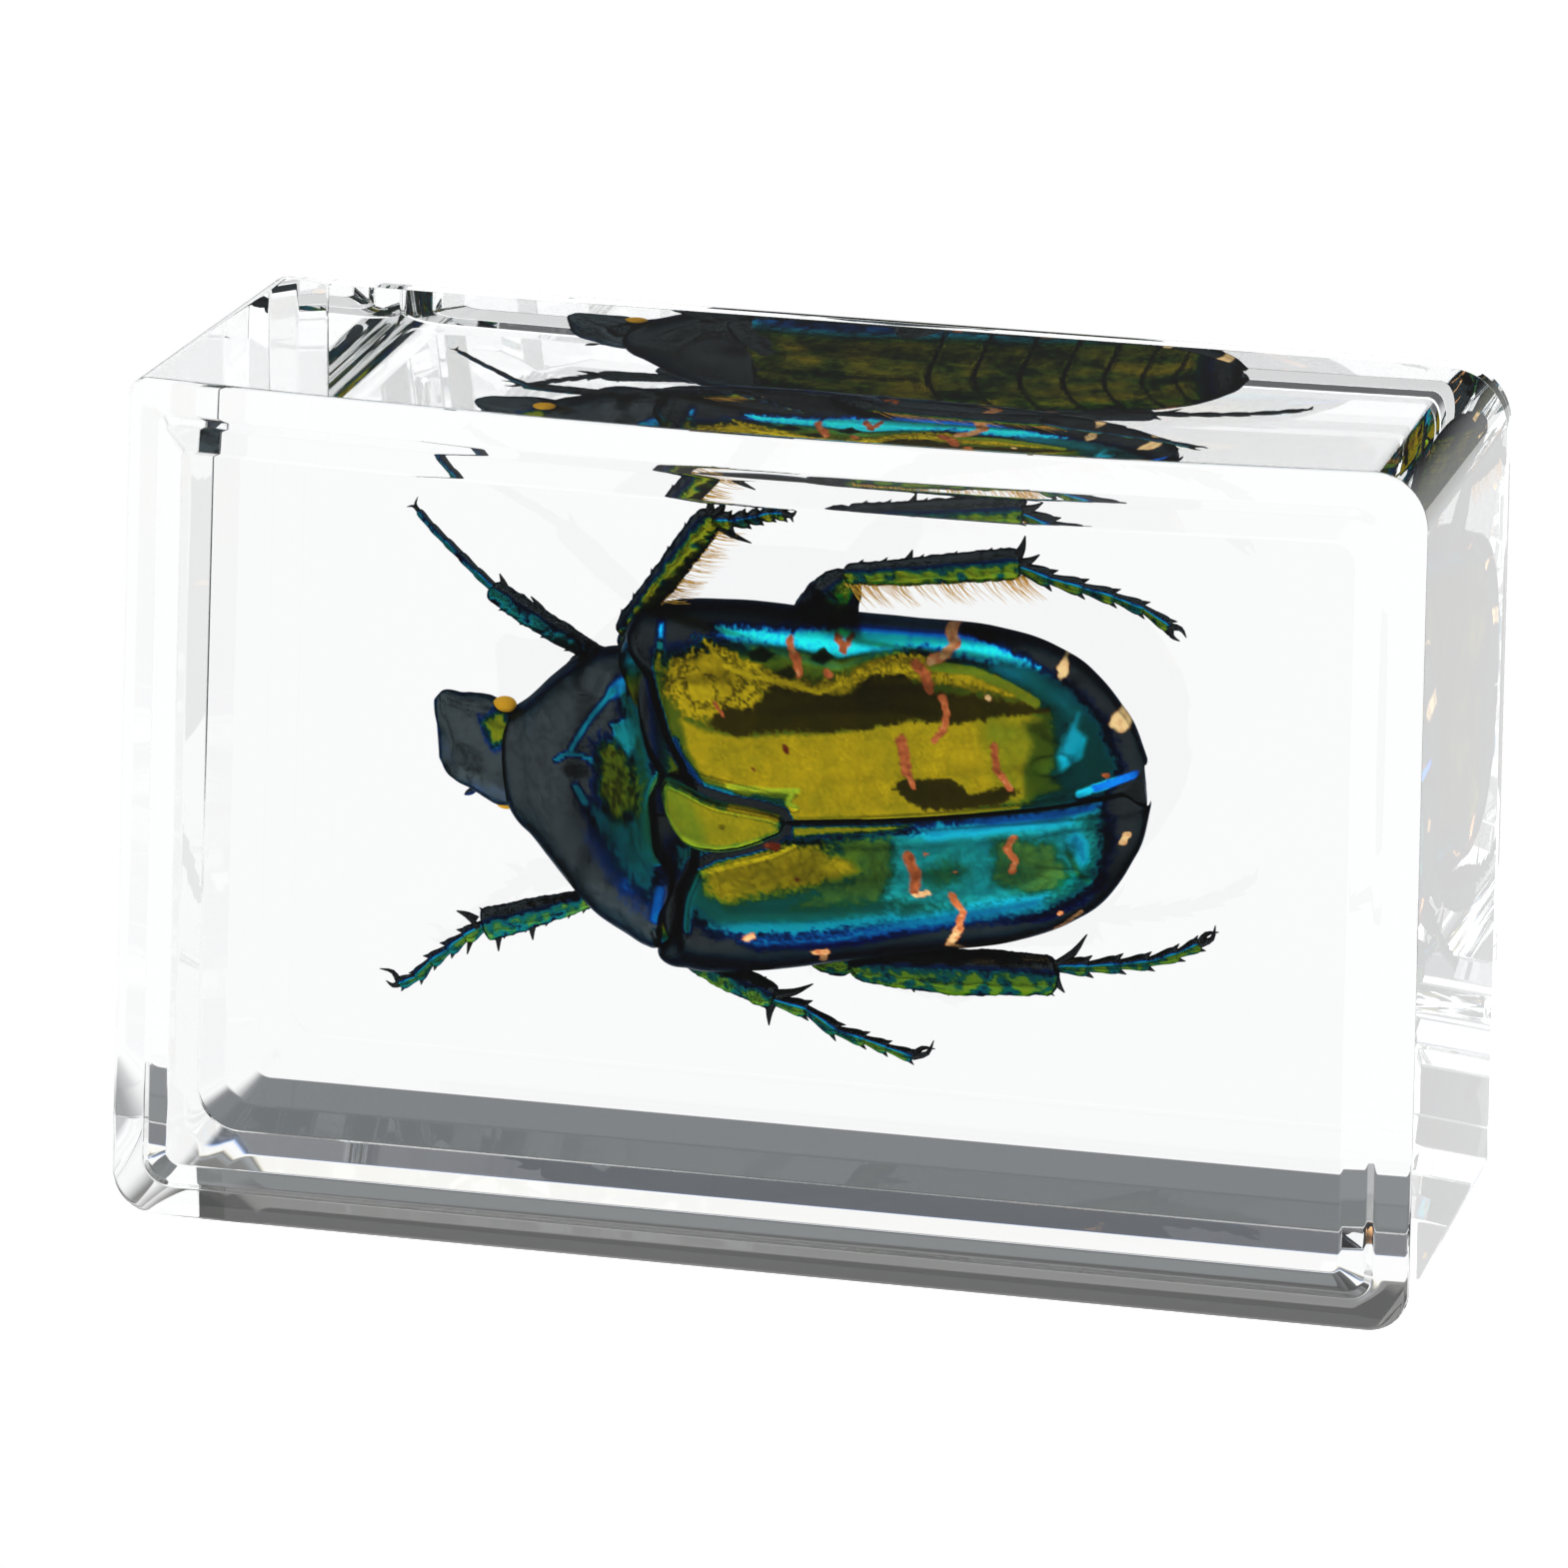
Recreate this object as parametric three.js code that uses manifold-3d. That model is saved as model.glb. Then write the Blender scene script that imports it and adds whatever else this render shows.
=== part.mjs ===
// A green rose chafer cast in a clear resin block, in millimetres, +Z up.
// The block stands on its long narrow side. X runs along its length, Y through its thickness,
// with the front face towards -Y, and the origin is at the middle of the base.
// The clear solid is parted in two on an upright plane through the beetle, so that the beetle
// lies in a pocket that opens at the parting.

import * as THREE from 'three';
import { mergeVertices } from 'three/addons/utils/BufferGeometryUtils.js';
import Module from 'manifold-3d';

const wasm = await Module();
wasm.setup();

// ---- Driving dimensions, mm ----

const BLOCK = {
  length: 44, // at half height
  height: 29,
  thickness: 18.4, // flat front face to flat back face
  taper: 0.0106, // the base is longer, and the top shorter, by this share of the length
  frontTopSag: 0.4, // how far the top's front edge dips at its middle
};

// The stepped bevel round both large faces, from the outer edge inwards.
const BEVEL = [
  { inset: 0, depth: 0 },
  { inset: 1.3, depth: 0.45 },
  { inset: 2.1, depth: 0.7 },
];

const CORNER_RADIUS = { topRight: 1.9, topLeft: 0.7, bottomLeft: 1.6, bottomRight: 1.4 };
const SIDE_STEPS = 8; // stretches along the top and bottom edges, which carry the sag
const CORNER_STEPS = 4;

const PARTING_Y = 3.4; // the plane that parts the clear solid, at the beetle's widest level
const PARTING_GAP = 0.3;
const CLEARANCE = 0.55; // between the beetle and its pocket

// Where the beetle lies: a point on its long axis, the axis's tilt in the XZ plane with the
// head to the left, and its roll, which turns the far side of the back to the viewer.
const BEETLE = { x: -5.4, y: PARTING_Y, z: 14.5, tiltDeg: 5.2, rollDeg: 10 };

// Sections across the body: place along the axis, half width, rise of the back, sink of the
// belly, and shift of the middle across the axis.
const HIND_BODY = [
  { along: -0.9, width: 4.6, rise: 2.5, sink: 2.6 },
  { along: -0.1, width: 6.1, rise: 3.3, sink: 3.3 },
  { along: 0.9, width: 6.45, rise: 3.6, sink: 3.6 },
  { along: 3.2, width: 6.5, rise: 3.85, sink: 3.8 },
  { along: 6.2, width: 6.15, rise: 3.9, sink: 3.7 },
  { along: 9.4, width: 5.8, rise: 3.65, sink: 3.4 },
  { along: 12.2, width: 5.5, rise: 3.1, sink: 2.9 },
  { along: 14.2, width: 4.85, rise: 2.5, sink: 2.3 },
  { along: 15.4, width: 4.05, rise: 1.9, sink: 1.7 },
  { along: 16.3, width: 2.85, rise: 1.25, sink: 1.2 },
  { along: 16.8, width: 1.9, rise: 0.8, sink: 0.8 },
  { along: 17.1, width: 0.8, rise: 0.35, sink: 0.4 },
];
const PRONOTUM = [
  { along: -5.1, width: 1.45, rise: 0.9, sink: 1.3, shift: 1.0 },
  { along: -4.8, width: 1.85, rise: 1.4, sink: 1.8, shift: 0.85 },
  { along: -4.2, width: 2.35, rise: 1.9, sink: 2.3, shift: 0.7 },
  { along: -3.2, width: 3.5, rise: 2.6, sink: 2.9, shift: 0.4 },
  { along: -2.3, width: 4.4, rise: 3.05, sink: 3.3, shift: 0.1 },
  { along: -1.3, width: 4.95, rise: 3.35, sink: 3.5, shift: -0.1 },
  { along: -0.4, width: 5.2, rise: 3.5, sink: 3.6, shift: -0.35 },
  { along: 0.3, width: 5.15, rise: 3.5, sink: 3.5, shift: -0.45 },
  { along: 0.6, width: 4.9, rise: 3.2, sink: 3.2, shift: -0.45 },
];
const HEAD = [
  { along: -7.3, width: 1.1, rise: 0.35, sink: 0.3, shift: 2.15 },
  { along: -7.1, width: 1.4, rise: 0.6, sink: 0.6, shift: 2.05 },
  { along: -6.3, width: 1.7, rise: 0.95, sink: 1.1, shift: 1.7 },
  { along: -5.5, width: 1.9, rise: 1.15, sink: 1.4, shift: 1.4 },
  { along: -4.6, width: 1.75, rise: 1.1, sink: 1.4, shift: 1.1 },
];
// The plate between the wing cases' bases stands a little proud of them; lift is its top.
const SCUTELLUM = [
  { along: 0.45, width: 1.2, lift: 3.5 },
  { along: 0.8, width: 1.65, lift: 3.68 },
  { along: 1.8, width: 1.6, lift: 3.83 },
  { along: 3.2, width: 1.05, lift: 3.97 },
  { along: 4.4, width: 0.5, lift: 4.0 },
  { along: 5.2, width: 0.12, lift: 3.98 },
];
const SCUTELLUM_EDGE = 0.25;
const BODY_ROUNDNESS = 2.4; // exponent of the body's section: 2 is an ellipse, more is boxier
const SUTURE_DIP = 0.28; // the groove between the wing cases
const SUTURE_FROM = 5.4;
const APEX_NOTCH = { depth: 0.55, halfWidth: 0.55 }; // where the wing cases part at the tip

// Swellings: place along and across the axis, height above it, and radii.
const BUMPS = [
  { along: 14.4, across: 2.1, rise: 1.55, size: [1.25, 0.85, 0.75] }, // near the wing cases' tips
  { along: 14.4, across: -2.1, rise: 1.55, size: [1.25, 0.85, 0.75] },
  { along: 1.3, across: 4.6, rise: 1.9, size: [1.2, 1.0, 1.1] }, // shoulders
  { along: 1.3, across: -4.6, rise: 1.9, size: [1.2, 1.0, 1.1] },
  { along: -5.0, across: 3.0, rise: 0.3, size: [0.5, 0.42, 0.5] }, // eyes
  { along: -5.3, across: -0.35, rise: -0.1, size: [0.5, 0.42, 0.5] },
];

// Legs, in the block's own x, y, z. A limb's stations are [x, y, z, half width].
const LEGS = [
  {
    limbs: [
      [[-8.6, 5.6, 16.6, 0.9], [-7.9, 4.8, 17.8, 0.95], [-7.2, 3.9, 18.9, 0.6]],
      [[-7.3, 3.6, 18.8, 0.35], [-9.2, 2.7, 20.1, 0.36], [-10.9, 1.8, 21.2, 0.34]],
    ],
    spikes: [[-9.1, 2.7, 20.1, -9.6, 2.5, 20.9], [-10.4, 2.1, 20.9, -10.6, 1.9, 21.7]],
    foot: [[-10.8, 1.9, 21.2], [-11.5, 2.2, 21.7], [-12.1, 2.7, 22.1], [-12.7, 3.1, 22.5],
      [-13.3, 3.6, 22.9], [-13.8, 4.0, 23.3]],
    footWidth: 0.2,
    claws: [[-14.3, 4.2, 23.4], [-13.9, 4.3, 23.8]],
  },
  {
    limbs: [
      [[-4.4, 6.0, 16.8, 0.95], [-5.4, 5.2, 18.4, 1.0], [-6.5, 3.9, 19.8, 0.6]],
      [[-6.6, 3.6, 19.7, 0.35], [-4.9, 2.1, 22.1, 0.4], [-3.1, 0.5, 24.6, 0.42]],
    ],
    spikes: [[-3.2, 0.6, 24.5, -3.2, 0.3, 25.2], [-3.0, 0.6, 24.5, -2.6, 0.2, 25.1],
      [-3.1, 0.7, 24.3, -1.7, 0.2, 23.7]],
    foot: [[-3.1, 0.6, 24.3], [-2.4, 0.1, 24.4], [-1.8, -0.4, 24.6], [-1.3, -0.9, 24.8],
      [-0.8, -1.4, 25.0], [-0.3, -1.8, 25.1]],
    footWidth: 0.26,
    claws: [[0.2, -2.1, 25.3], [0.1, -2.3, 24.9]],
  },
  {
    limbs: [
      [[-0.6, 5.8, 17.4, 1.15], [0.5, 3.6, 20.6, 1.2], [1.2, 2.0, 22.1, 0.9], [1.6, 1.2, 22.8, 0.5]],
      [[1.5, 1.2, 22.8, 0.34], [4.5, 0.7, 23.3, 0.38], [7.5, 0.2, 23.8, 0.42]],
    ],
    spikes: [[7.3, 0.2, 23.9, 7.6, 0.0, 24.7], [7.4, 0.2, 23.7, 8.1, 0.0, 24.1],
      [3.4, 0.9, 23.2, 3.7, 0.8, 23.8]],
    foot: [[7.4, 0.2, 23.6], [8.5, 0.0, 23.3], [9.6, -0.1, 23.1], [10.7, -0.3, 22.9],
      [11.7, -0.4, 22.6], [12.6, -0.5, 22.1]],
    footWidth: 0.26,
    claws: [[13.0, -0.6, 21.6], [13.2, -0.3, 21.7]],
  },
  {
    limbs: [
      [[-8.2, 5.8, 13.0, 0.9], [-7.9, 5.4, 11.6, 0.95], [-7.5, 4.9, 10.3, 0.6]],
      [[-7.6, 4.7, 10.2, 0.3], [-9.4, 4.4, 9.6, 0.42], [-11.4, 4.2, 9.0, 0.5]],
    ],
    spikes: [[-9.6, 4.4, 9.4, -9.6, 4.2, 8.6], [-10.7, 4.3, 9.1, -10.8, 4.2, 8.1],
      [-11.5, 4.2, 9.0, -11.9, 4.2, 7.9], [-11.6, 4.2, 9.1, -12.3, 4.2, 9.4]],
    foot: [[-11.3, 4.2, 9.0], [-12.0, 4.25, 8.5], [-12.6, 4.3, 8.0], [-13.2, 4.35, 7.5],
      [-13.7, 4.4, 6.9], [-14.3, 4.5, 6.6]],
    footWidth: 0.28,
    claws: [[-15.1, 4.5, 7.1], [-14.9, 4.8, 6.6]],
  },
  {
    limbs: [
      [[-3.6, 6.2, 12.2, 1.0], [-4.2, 6.0, 10.4, 1.05], [-4.6, 5.4, 8.6, 0.65]],
      [[-4.6, 5.2, 8.5, 0.38], [-2.8, 4.8, 7.7, 0.42], [-1.1, 4.3, 7.2, 0.45]],
    ],
    spikes: [[-1.2, 4.4, 7.2, -1.3, 4.3, 6.3], [-1.1, 4.3, 7.4, 0.2, 4.3, 7.9]],
    foot: [[-1.1, 4.3, 7.2], [0.0, 4.2, 7.0], [1.1, 4.0, 6.4], [2.1, 3.8, 6.2],
      [2.9, 3.7, 6.0], [3.8, 3.6, 5.8]],
    footWidth: 0.26,
    claws: [[4.6, 3.5, 6.5], [4.6, 3.9, 6.1]],
  },
  {
    limbs: [
      [[-0.2, 6.2, 12.4, 1.15], [-0.1, 5.9, 10.3, 1.2], [0.8, 5.0, 8.9, 0.8], [1.6, 4.7, 8.6, 0.5]],
      [[1.4, 4.6, 8.5, 0.4], [5.0, 4.35, 8.8, 0.48], [8.7, 4.1, 9.1, 0.46]],
    ],
    spikes: [[3.5, 4.5, 8.5, 3.7, 4.4, 7.9], [4.7, 4.4, 8.6, 4.9, 4.3, 7.9],
      [5.9, 4.3, 8.7, 6.1, 4.2, 8.0], [8.5, 4.1, 9.0, 8.9, 4.1, 8.4], [8.6, 4.1, 9.3, 9.6, 4.1, 10.5]],
    foot: [[8.6, 4.1, 9.3], [9.7, 4.0, 9.4], [10.8, 3.9, 9.6], [11.8, 3.75, 9.8],
      [12.8, 3.6, 10.2], [13.5, 3.5, 10.6]],
    footWidth: 0.27,
    claws: [[14.1, 3.3, 11.4], [14.2, 3.6, 11.1]],
  },
];
const SPIKE_RADIUS = 0.17;
const CLAW_RADIUS = 0.11;
const POINT_RADIUS = 0.03;

// Room in the pocket for what stands out from a limb or from the head.
const LONG_SPIKE = 0.85;
const FOOT_ROOM = 0.9;
const EYE_ROOM = 0.3;

const FINISH = {
  resin: { color: 0xf4f8f8, roughness: 0.03, metalness: 0, transparent: true, opacity: 0.35 },
  beetle: { color: 0x4a5a1c, roughness: 0.3, metalness: 0.7 },
};

// ---- Solids ----

// Joins like rings of points into a closed skin, with a fan over each end.
function loft(rings) {
  const count = rings[0].length;
  const points = rings.flat();
  const faces = [];
  for (let r = 0; r + 1 < rings.length; r++) {
    for (let i = 0; i < count; i++) {
      const a = r * count + i;
      const b = r * count + ((i + 1) % count);
      faces.push(a, b, b + count, a, b + count, a + count);
    }
  }
  const middle = (ring) => ring.reduce((sum, p) => sum.add(p), new THREE.Vector3()).divideScalar(count);
  const last = (rings.length - 1) * count;
  points.push(middle(rings[0]), middle(rings.at(-1)));
  for (let i = 0; i < count; i++) {
    const j = (i + 1) % count;
    faces.push(points.length - 2, j, i, points.length - 1, last + i, last + j);
  }
  const geometry = new THREE.BufferGeometry().setFromPoints(points);
  geometry.setIndex(faces);
  return geometry;
}

// Makes a closed geometry a solid that can be joined and cut, whichever way its rings ran.
function solidOf(geometry) {
  const bare = geometry.clone();
  bare.deleteAttribute('normal');
  bare.deleteAttribute('uv');
  const merged = mergeVertices(bare, 1e-5);
  const index = Uint32Array.from(merged.index.array);
  const places = Float32Array.from(merged.attributes.position.array);
  if (signedVolume(places, index) < 0) {
    for (let i = 0; i < index.length; i += 3) {
      [index[i + 1], index[i + 2]] = [index[i + 2], index[i + 1]];
    }
  }
  return new wasm.Manifold(new wasm.Mesh({ numProp: 3, vertProperties: places, triVerts: index }));
}

function signedVolume(places, index) {
  const corner = (i) => new THREE.Vector3().fromArray(places, 3 * index[i]);
  let volume = 0;
  for (let i = 0; i < index.length; i += 3) {
    volume += corner(i).dot(corner(i + 1).cross(corner(i + 2))) / 6;
  }
  return volume;
}

function geometryOf(solid) {
  const mesh = solid.getMesh();
  const geometry = new THREE.BufferGeometry();
  geometry.setAttribute('position', new THREE.BufferAttribute(Float32Array.from(mesh.vertProperties), 3));
  geometry.setIndex(Array.from(mesh.triVerts));
  return geometry;
}

const joined = (solids) => solids.reduce((sum, solid) => sum.add(solid));

// ---- The resin block ----

// The block's outline at one depth, drawn in by inset all round.
function blockRing(y, inset, sag) {
  const { length, height, taper } = BLOCK;
  const halfLength = length / 2;
  const corners = [
    { right: 1, up: 1, from: 0, radius: CORNER_RADIUS.topRight },
    { right: -1, up: 1, from: 90, radius: CORNER_RADIUS.topLeft },
    { right: -1, up: -1, from: 180, radius: CORNER_RADIUS.bottomLeft },
    { right: 1, up: -1, from: 270, radius: CORNER_RADIUS.bottomRight },
  ];
  const flat = [];
  corners.forEach((corner, i) => {
    const radius = Math.max(corner.radius - inset * 0.5, 0.25);
    const x = corner.right * (halfLength - inset - radius);
    const z = height / 2 + corner.up * (height / 2 - inset - radius);
    for (let k = 0; k <= CORNER_STEPS; k++) {
      const angle = THREE.MathUtils.degToRad(corner.from + (90 * k) / CORNER_STEPS);
      flat.push([x + radius * Math.cos(angle), z + radius * Math.sin(angle)]);
    }
    if (i % 2 === 0) {
      const span = 2 * (halfLength - inset) - radius;
      const nextRadius = Math.max(corners[i + 1].radius - inset * 0.5, 0.25);
      const reach = span - nextRadius;
      for (let k = 1; k < SIDE_STEPS; k++) {
        flat.push([x - corner.right * (reach * k) / SIDE_STEPS, z + corner.up * radius]);
      }
    }
  });
  return flat.map(([x, z]) => {
    const upShare = z / height;
    const widened = x * (1 + taper * (1 - 2 * upShare));
    const dip = sag * (1 - (x / halfLength) ** 2) * (z > height / 2 ? 1 : 0);
    return new THREE.Vector3(widened, y, z - dip);
  });
}

function blockSolid() {
  const half = BLOCK.thickness / 2;
  const outermost = BEVEL.at(-1).depth;
  const steps = BEVEL.map(({ inset, depth }) => ({ inset, y: half - outermost + depth }));
  const front = steps.map(({ inset, y }) => blockRing(-y, inset, BLOCK.frontTopSag)).reverse();
  const back = steps.map(({ inset, y }) => blockRing(y, inset, 0));
  return solidOf(loft([...front, ...back]));
}

// ---- The beetle ----

const tilt = THREE.MathUtils.degToRad(BEETLE.tiltDeg);
const roll = THREE.MathUtils.degToRad(BEETLE.rollDeg);
const ALONG = new THREE.Vector3(Math.cos(tilt), 0, Math.sin(tilt));
const SIDEWAYS = new THREE.Vector3(-Math.sin(tilt), 0, Math.cos(tilt));
const TO_VIEWER = new THREE.Vector3(0, -1, 0);
const ACROSS = SIDEWAYS.clone().multiplyScalar(Math.cos(roll)).addScaledVector(TO_VIEWER, Math.sin(roll));
const RISE = TO_VIEWER.clone().multiplyScalar(Math.cos(roll)).addScaledVector(SIDEWAYS, -Math.sin(roll));

function onBody(along, across, rise) {
  return new THREE.Vector3(BEETLE.x, BEETLE.y, BEETLE.z)
    .addScaledVector(ALONG, along)
    .addScaledVector(ACROSS, across)
    .addScaledVector(RISE, rise);
}

// Angles round a section. The fine set has two more near the top, for the suture's groove.
const COARSE_ANGLES = Array.from({ length: 12 }, (_, i) => i * 30);
const FINE_ANGLES = Array.from({ length: 24 }, (_, i) => i * 15);
FINE_ANGLES.splice(FINE_ANGLES.indexOf(90), 1, 85, 90, 95);

function bodyRing({ along, width, rise, sink, shift = 0, dip = 0, lift = 0 }, angles, grown) {
  const power = 2 / BODY_ROUNDNESS;
  return angles.map((degrees) => {
    const c = Math.cos(THREE.MathUtils.degToRad(degrees));
    const s = Math.sin(THREE.MathUtils.degToRad(degrees));
    const across = shift + (width + grown) * Math.sign(c) * Math.abs(c) ** power;
    const reach = (s > 0 ? rise : sink) + grown;
    const up = lift + reach * Math.sign(s) * Math.abs(s) ** power;
    return onBody(along, across, up - (degrees === 90 ? dip : 0));
  });
}

function bodySolid(sections, angles, grown = 0) {
  const ends = [0, sections.length - 1];
  const rings = sections.map((section, i) => {
    const outwards = ends.includes(i) ? Math.sign(i - 0.5) * grown : 0;
    return bodyRing({ ...section, along: section.along + outwards }, angles, grown);
  });
  return solidOf(loft(rings));
}

// A round or tapering limb through stations [x, y, z, radius], with closed ends.
function limb(stations, sides = 6) {
  const places = stations.map(([x, y, z]) => new THREE.Vector3(x, y, z));
  const rings = stations.map(([, , , radius], i) => {
    const before = places[Math.max(i - 1, 0)];
    const after = places[Math.min(i + 1, places.length - 1)];
    const direction = after.clone().sub(before).normalize();
    const side = new THREE.Vector3().crossVectors(direction, TO_VIEWER).normalize();
    const top = new THREE.Vector3().crossVectors(side, direction);
    return Array.from({ length: sides }, (_, k) => {
      const angle = (2 * Math.PI * k) / sides;
      return places[i].clone()
        .addScaledVector(side, radius * Math.cos(angle))
        .addScaledVector(top, radius * Math.sin(angle));
    });
  });
  return solidOf(loft(rings));
}

const spike = (root, tip, radius) => limb([[...root, radius], [...tip, POINT_RADIUS]], 4);

// The foot's joints each widen to a collar and narrow again, like beads on a string.
function footSolid(foot, width) {
  const stations = [];
  for (let i = 0; i + 1 < foot.length; i++) {
    const collar = foot[i].map((v, axis) => v + (foot[i + 1][axis] - v) * 0.8);
    stations.push([...foot[i], width * 0.5], [...collar, width]);
  }
  stations.push([...foot.at(-1), width * 0.4]);
  return limb(stations, 5);
}

function legSolids({ limbs, spikes, foot, footWidth, claws }) {
  const solids = limbs.map((stations) => limb(stations));
  for (const [x1, y1, z1, x2, y2, z2] of spikes) {
    solids.push(spike([x1, y1, z1], [x2, y2, z2], SPIKE_RADIUS));
  }
  for (const claw of claws) solids.push(spike(foot.at(-1), claw, CLAW_RADIUS));
  return [...solids, footSolid(foot, footWidth)];
}

function bump({ along, across, rise, size }) {
  const ball = new THREE.SphereGeometry(1, 8, 5);
  const [long, wide, high] = size;
  const frame = new THREE.Matrix4().makeBasis(
    ALONG.clone().multiplyScalar(long),
    ACROSS.clone().multiplyScalar(wide),
    RISE.clone().multiplyScalar(high),
  );
  ball.applyMatrix4(frame.setPosition(onBody(along, across, rise)));
  return solidOf(ball);
}

function apexNotch() {
  const { depth, halfWidth } = APEX_NOTCH;
  const tip = HIND_BODY.at(-1).along;
  const deep = 4;
  const wedge = (rise) => [
    onBody(tip - depth, 0, rise),
    onBody(tip + depth, halfWidth * 2, rise),
    onBody(tip + depth, -halfWidth * 2, rise),
  ];
  return solidOf(loft([wedge(-deep), wedge(deep)]));
}

function beetleSolid() {
  const hindBody = HIND_BODY.map((s) => ({ ...s, dip: s.along > SUTURE_FROM ? SUTURE_DIP : 0 }));
  const plate = SCUTELLUM.map((s) => ({
    ...s,
    rise: SCUTELLUM_EDGE,
    sink: 4 * SCUTELLUM_EDGE,
    lift: s.lift - SCUTELLUM_EDGE,
  }));
  const body = joined([
    bodySolid(hindBody, FINE_ANGLES).subtract(apexNotch()),
    bodySolid(PRONOTUM, FINE_ANGLES),
    bodySolid(HEAD, COARSE_ANGLES),
    bodySolid(plate, COARSE_ANGLES),
    ...BUMPS.map(bump),
  ]);
  return joined([body, ...LEGS.flatMap(legSolids)]);
}

// ---- The pocket ----

// An upright-sided channel over one stretch of leg, from the leg's level to past the parting.
function channel([x1, y1, z1], [x2, y2, z2], halfWidth) {
  const shape = new THREE.Shape();
  const heading = Math.atan2(z2 - z1, x2 - x1);
  const quarter = Math.PI / 2;
  shape.absarc(x2, z2, halfWidth, heading - quarter, heading + quarter, false);
  shape.absarc(x1, z1, halfWidth, heading + quarter, heading + 3 * quarter, false);
  const nearest = Math.min(y1, y2, PARTING_Y) - halfWidth;
  const farthest = Math.max(y1, y2, PARTING_Y) + halfWidth;
  const prism = new THREE.ExtrudeGeometry(shape, {
    depth: farthest - nearest,
    bevelEnabled: false,
    curveSegments: 2,
  });
  // The shape was drawn in XZ, so the extrusion's own axis is turned to lie along Y.
  prism.applyMatrix4(new THREE.Matrix4().makeRotationX(Math.PI / 2));
  prism.translate(0, farthest, 0);
  return solidOf(prism);
}

function legChannels({ limbs, spikes, foot, claws }) {
  const solids = [];
  for (const stations of limbs) {
    const widest = Math.max(...stations.map((station) => station[3]));
    solids.push(channel(stations[0], stations.at(-1), widest + CLEARANCE));
  }
  for (const [x1, y1, z1, x2, y2, z2] of spikes) {
    const length = Math.hypot(x2 - x1, y2 - y1, z2 - z1);
    if (length > LONG_SPIKE) {
      solids.push(channel([x1, y1, z1], [x2, y2, z2], SPIKE_RADIUS + CLEARANCE));
    }
  }
  const turn = foot[Math.floor(foot.length / 2)];
  const clawMiddle = claws[0].map((v, axis) => (v + claws[1][axis]) / 2);
  solids.push(channel(foot[0], turn, FOOT_ROOM), channel(turn, clawMiddle, FOOT_ROOM));
  return solids;
}

function pocketSolid() {
  return joined([
    bodySolid(HIND_BODY, COARSE_ANGLES, CLEARANCE),
    bodySolid(PRONOTUM, COARSE_ANGLES, CLEARANCE),
    bodySolid(HEAD, COARSE_ANGLES, CLEARANCE + EYE_ROOM),
    ...LEGS.flatMap(legChannels),
  ]);
}

// A slab that holds everything in front of the parting, or behind it.
function sideOfParting(sign) {
  const size = 100;
  const slab = new THREE.BoxGeometry(size, size, size);
  slab.translate(0, PARTING_Y + sign * (size / 2 + PARTING_GAP / 2), 0);
  return solidOf(slab);
}

// ---- The object ----

function namedMesh(name, solid, finish) {
  const mesh = new THREE.Mesh(geometryOf(solid), new THREE.MeshStandardMaterial(finish));
  mesh.name = name;
  return mesh;
}

const resin = blockSolid().subtract(pocketSolid());
const object = new THREE.Group();
object.add(
  namedMesh('resin_front', resin.intersect(sideOfParting(-1)), FINISH.resin),
  namedMesh('resin_back', resin.intersect(sideOfParting(1)), FINISH.resin),
  namedMesh('beetle', beetleSolid(), FINISH.beetle),
);

export default object;
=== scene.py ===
"""A green rose chafer cast in a clear resin block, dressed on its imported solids.

Sizes are millimetres in the block's own frame unless a name says otherwise, and turn to metres as
they go into a mesh. The beetle has a frame of its own: along its axis from head to tail, across it,
and rise from the belly to the back, which faces the viewer.
"""

import math

import bpy
import numpy as np
from mathutils import Matrix, Vector, noise


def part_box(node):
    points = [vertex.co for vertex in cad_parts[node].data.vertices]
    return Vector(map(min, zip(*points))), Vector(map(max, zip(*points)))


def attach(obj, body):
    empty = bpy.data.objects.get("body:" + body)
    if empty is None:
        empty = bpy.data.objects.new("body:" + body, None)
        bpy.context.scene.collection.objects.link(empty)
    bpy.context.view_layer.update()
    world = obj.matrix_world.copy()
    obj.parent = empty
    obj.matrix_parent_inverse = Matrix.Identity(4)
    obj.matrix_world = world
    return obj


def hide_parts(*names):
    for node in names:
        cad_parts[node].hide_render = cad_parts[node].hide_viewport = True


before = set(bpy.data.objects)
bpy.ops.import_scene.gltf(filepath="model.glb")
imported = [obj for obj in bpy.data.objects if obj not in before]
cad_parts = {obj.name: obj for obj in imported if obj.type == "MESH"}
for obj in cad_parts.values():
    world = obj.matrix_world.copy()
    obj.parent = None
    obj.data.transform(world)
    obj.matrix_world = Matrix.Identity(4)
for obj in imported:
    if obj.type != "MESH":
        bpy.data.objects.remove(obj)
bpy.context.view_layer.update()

bl_info = {
    "name": "Beetle in Resin",
    "version": (1, 0, 0),
    "blender": (4, 5, 0),
    "location": "3D View > Sidebar > Specimen",
    "description": "Builds a flower chafer cast in a clear, bevelled resin block",
    "category": "Add Mesh",
}

MM = 0.001

# ---- The block ----

BLOCK_LOW = [min(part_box(n)[0][i] for n in ("resin_front", "resin_back")) / MM for i in range(3)]
BLOCK_HIGH = [max(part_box(n)[1][i] for n in ("resin_front", "resin_back")) / MM for i in range(3)]
BLOCK_LENGTH = 44.0
BLOCK_TAPER = 0.0106  # the base is longer, and the top shorter, by this share of the length
FRONT_TOP_SAG = 0.4
CORNER_RADII = {"top_right": 1.9, "top_left": 0.7, "bottom_left": 1.6, "bottom_right": 1.4}
CORNER_STEPS = 18
EDGE_STEPS = 48

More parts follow.
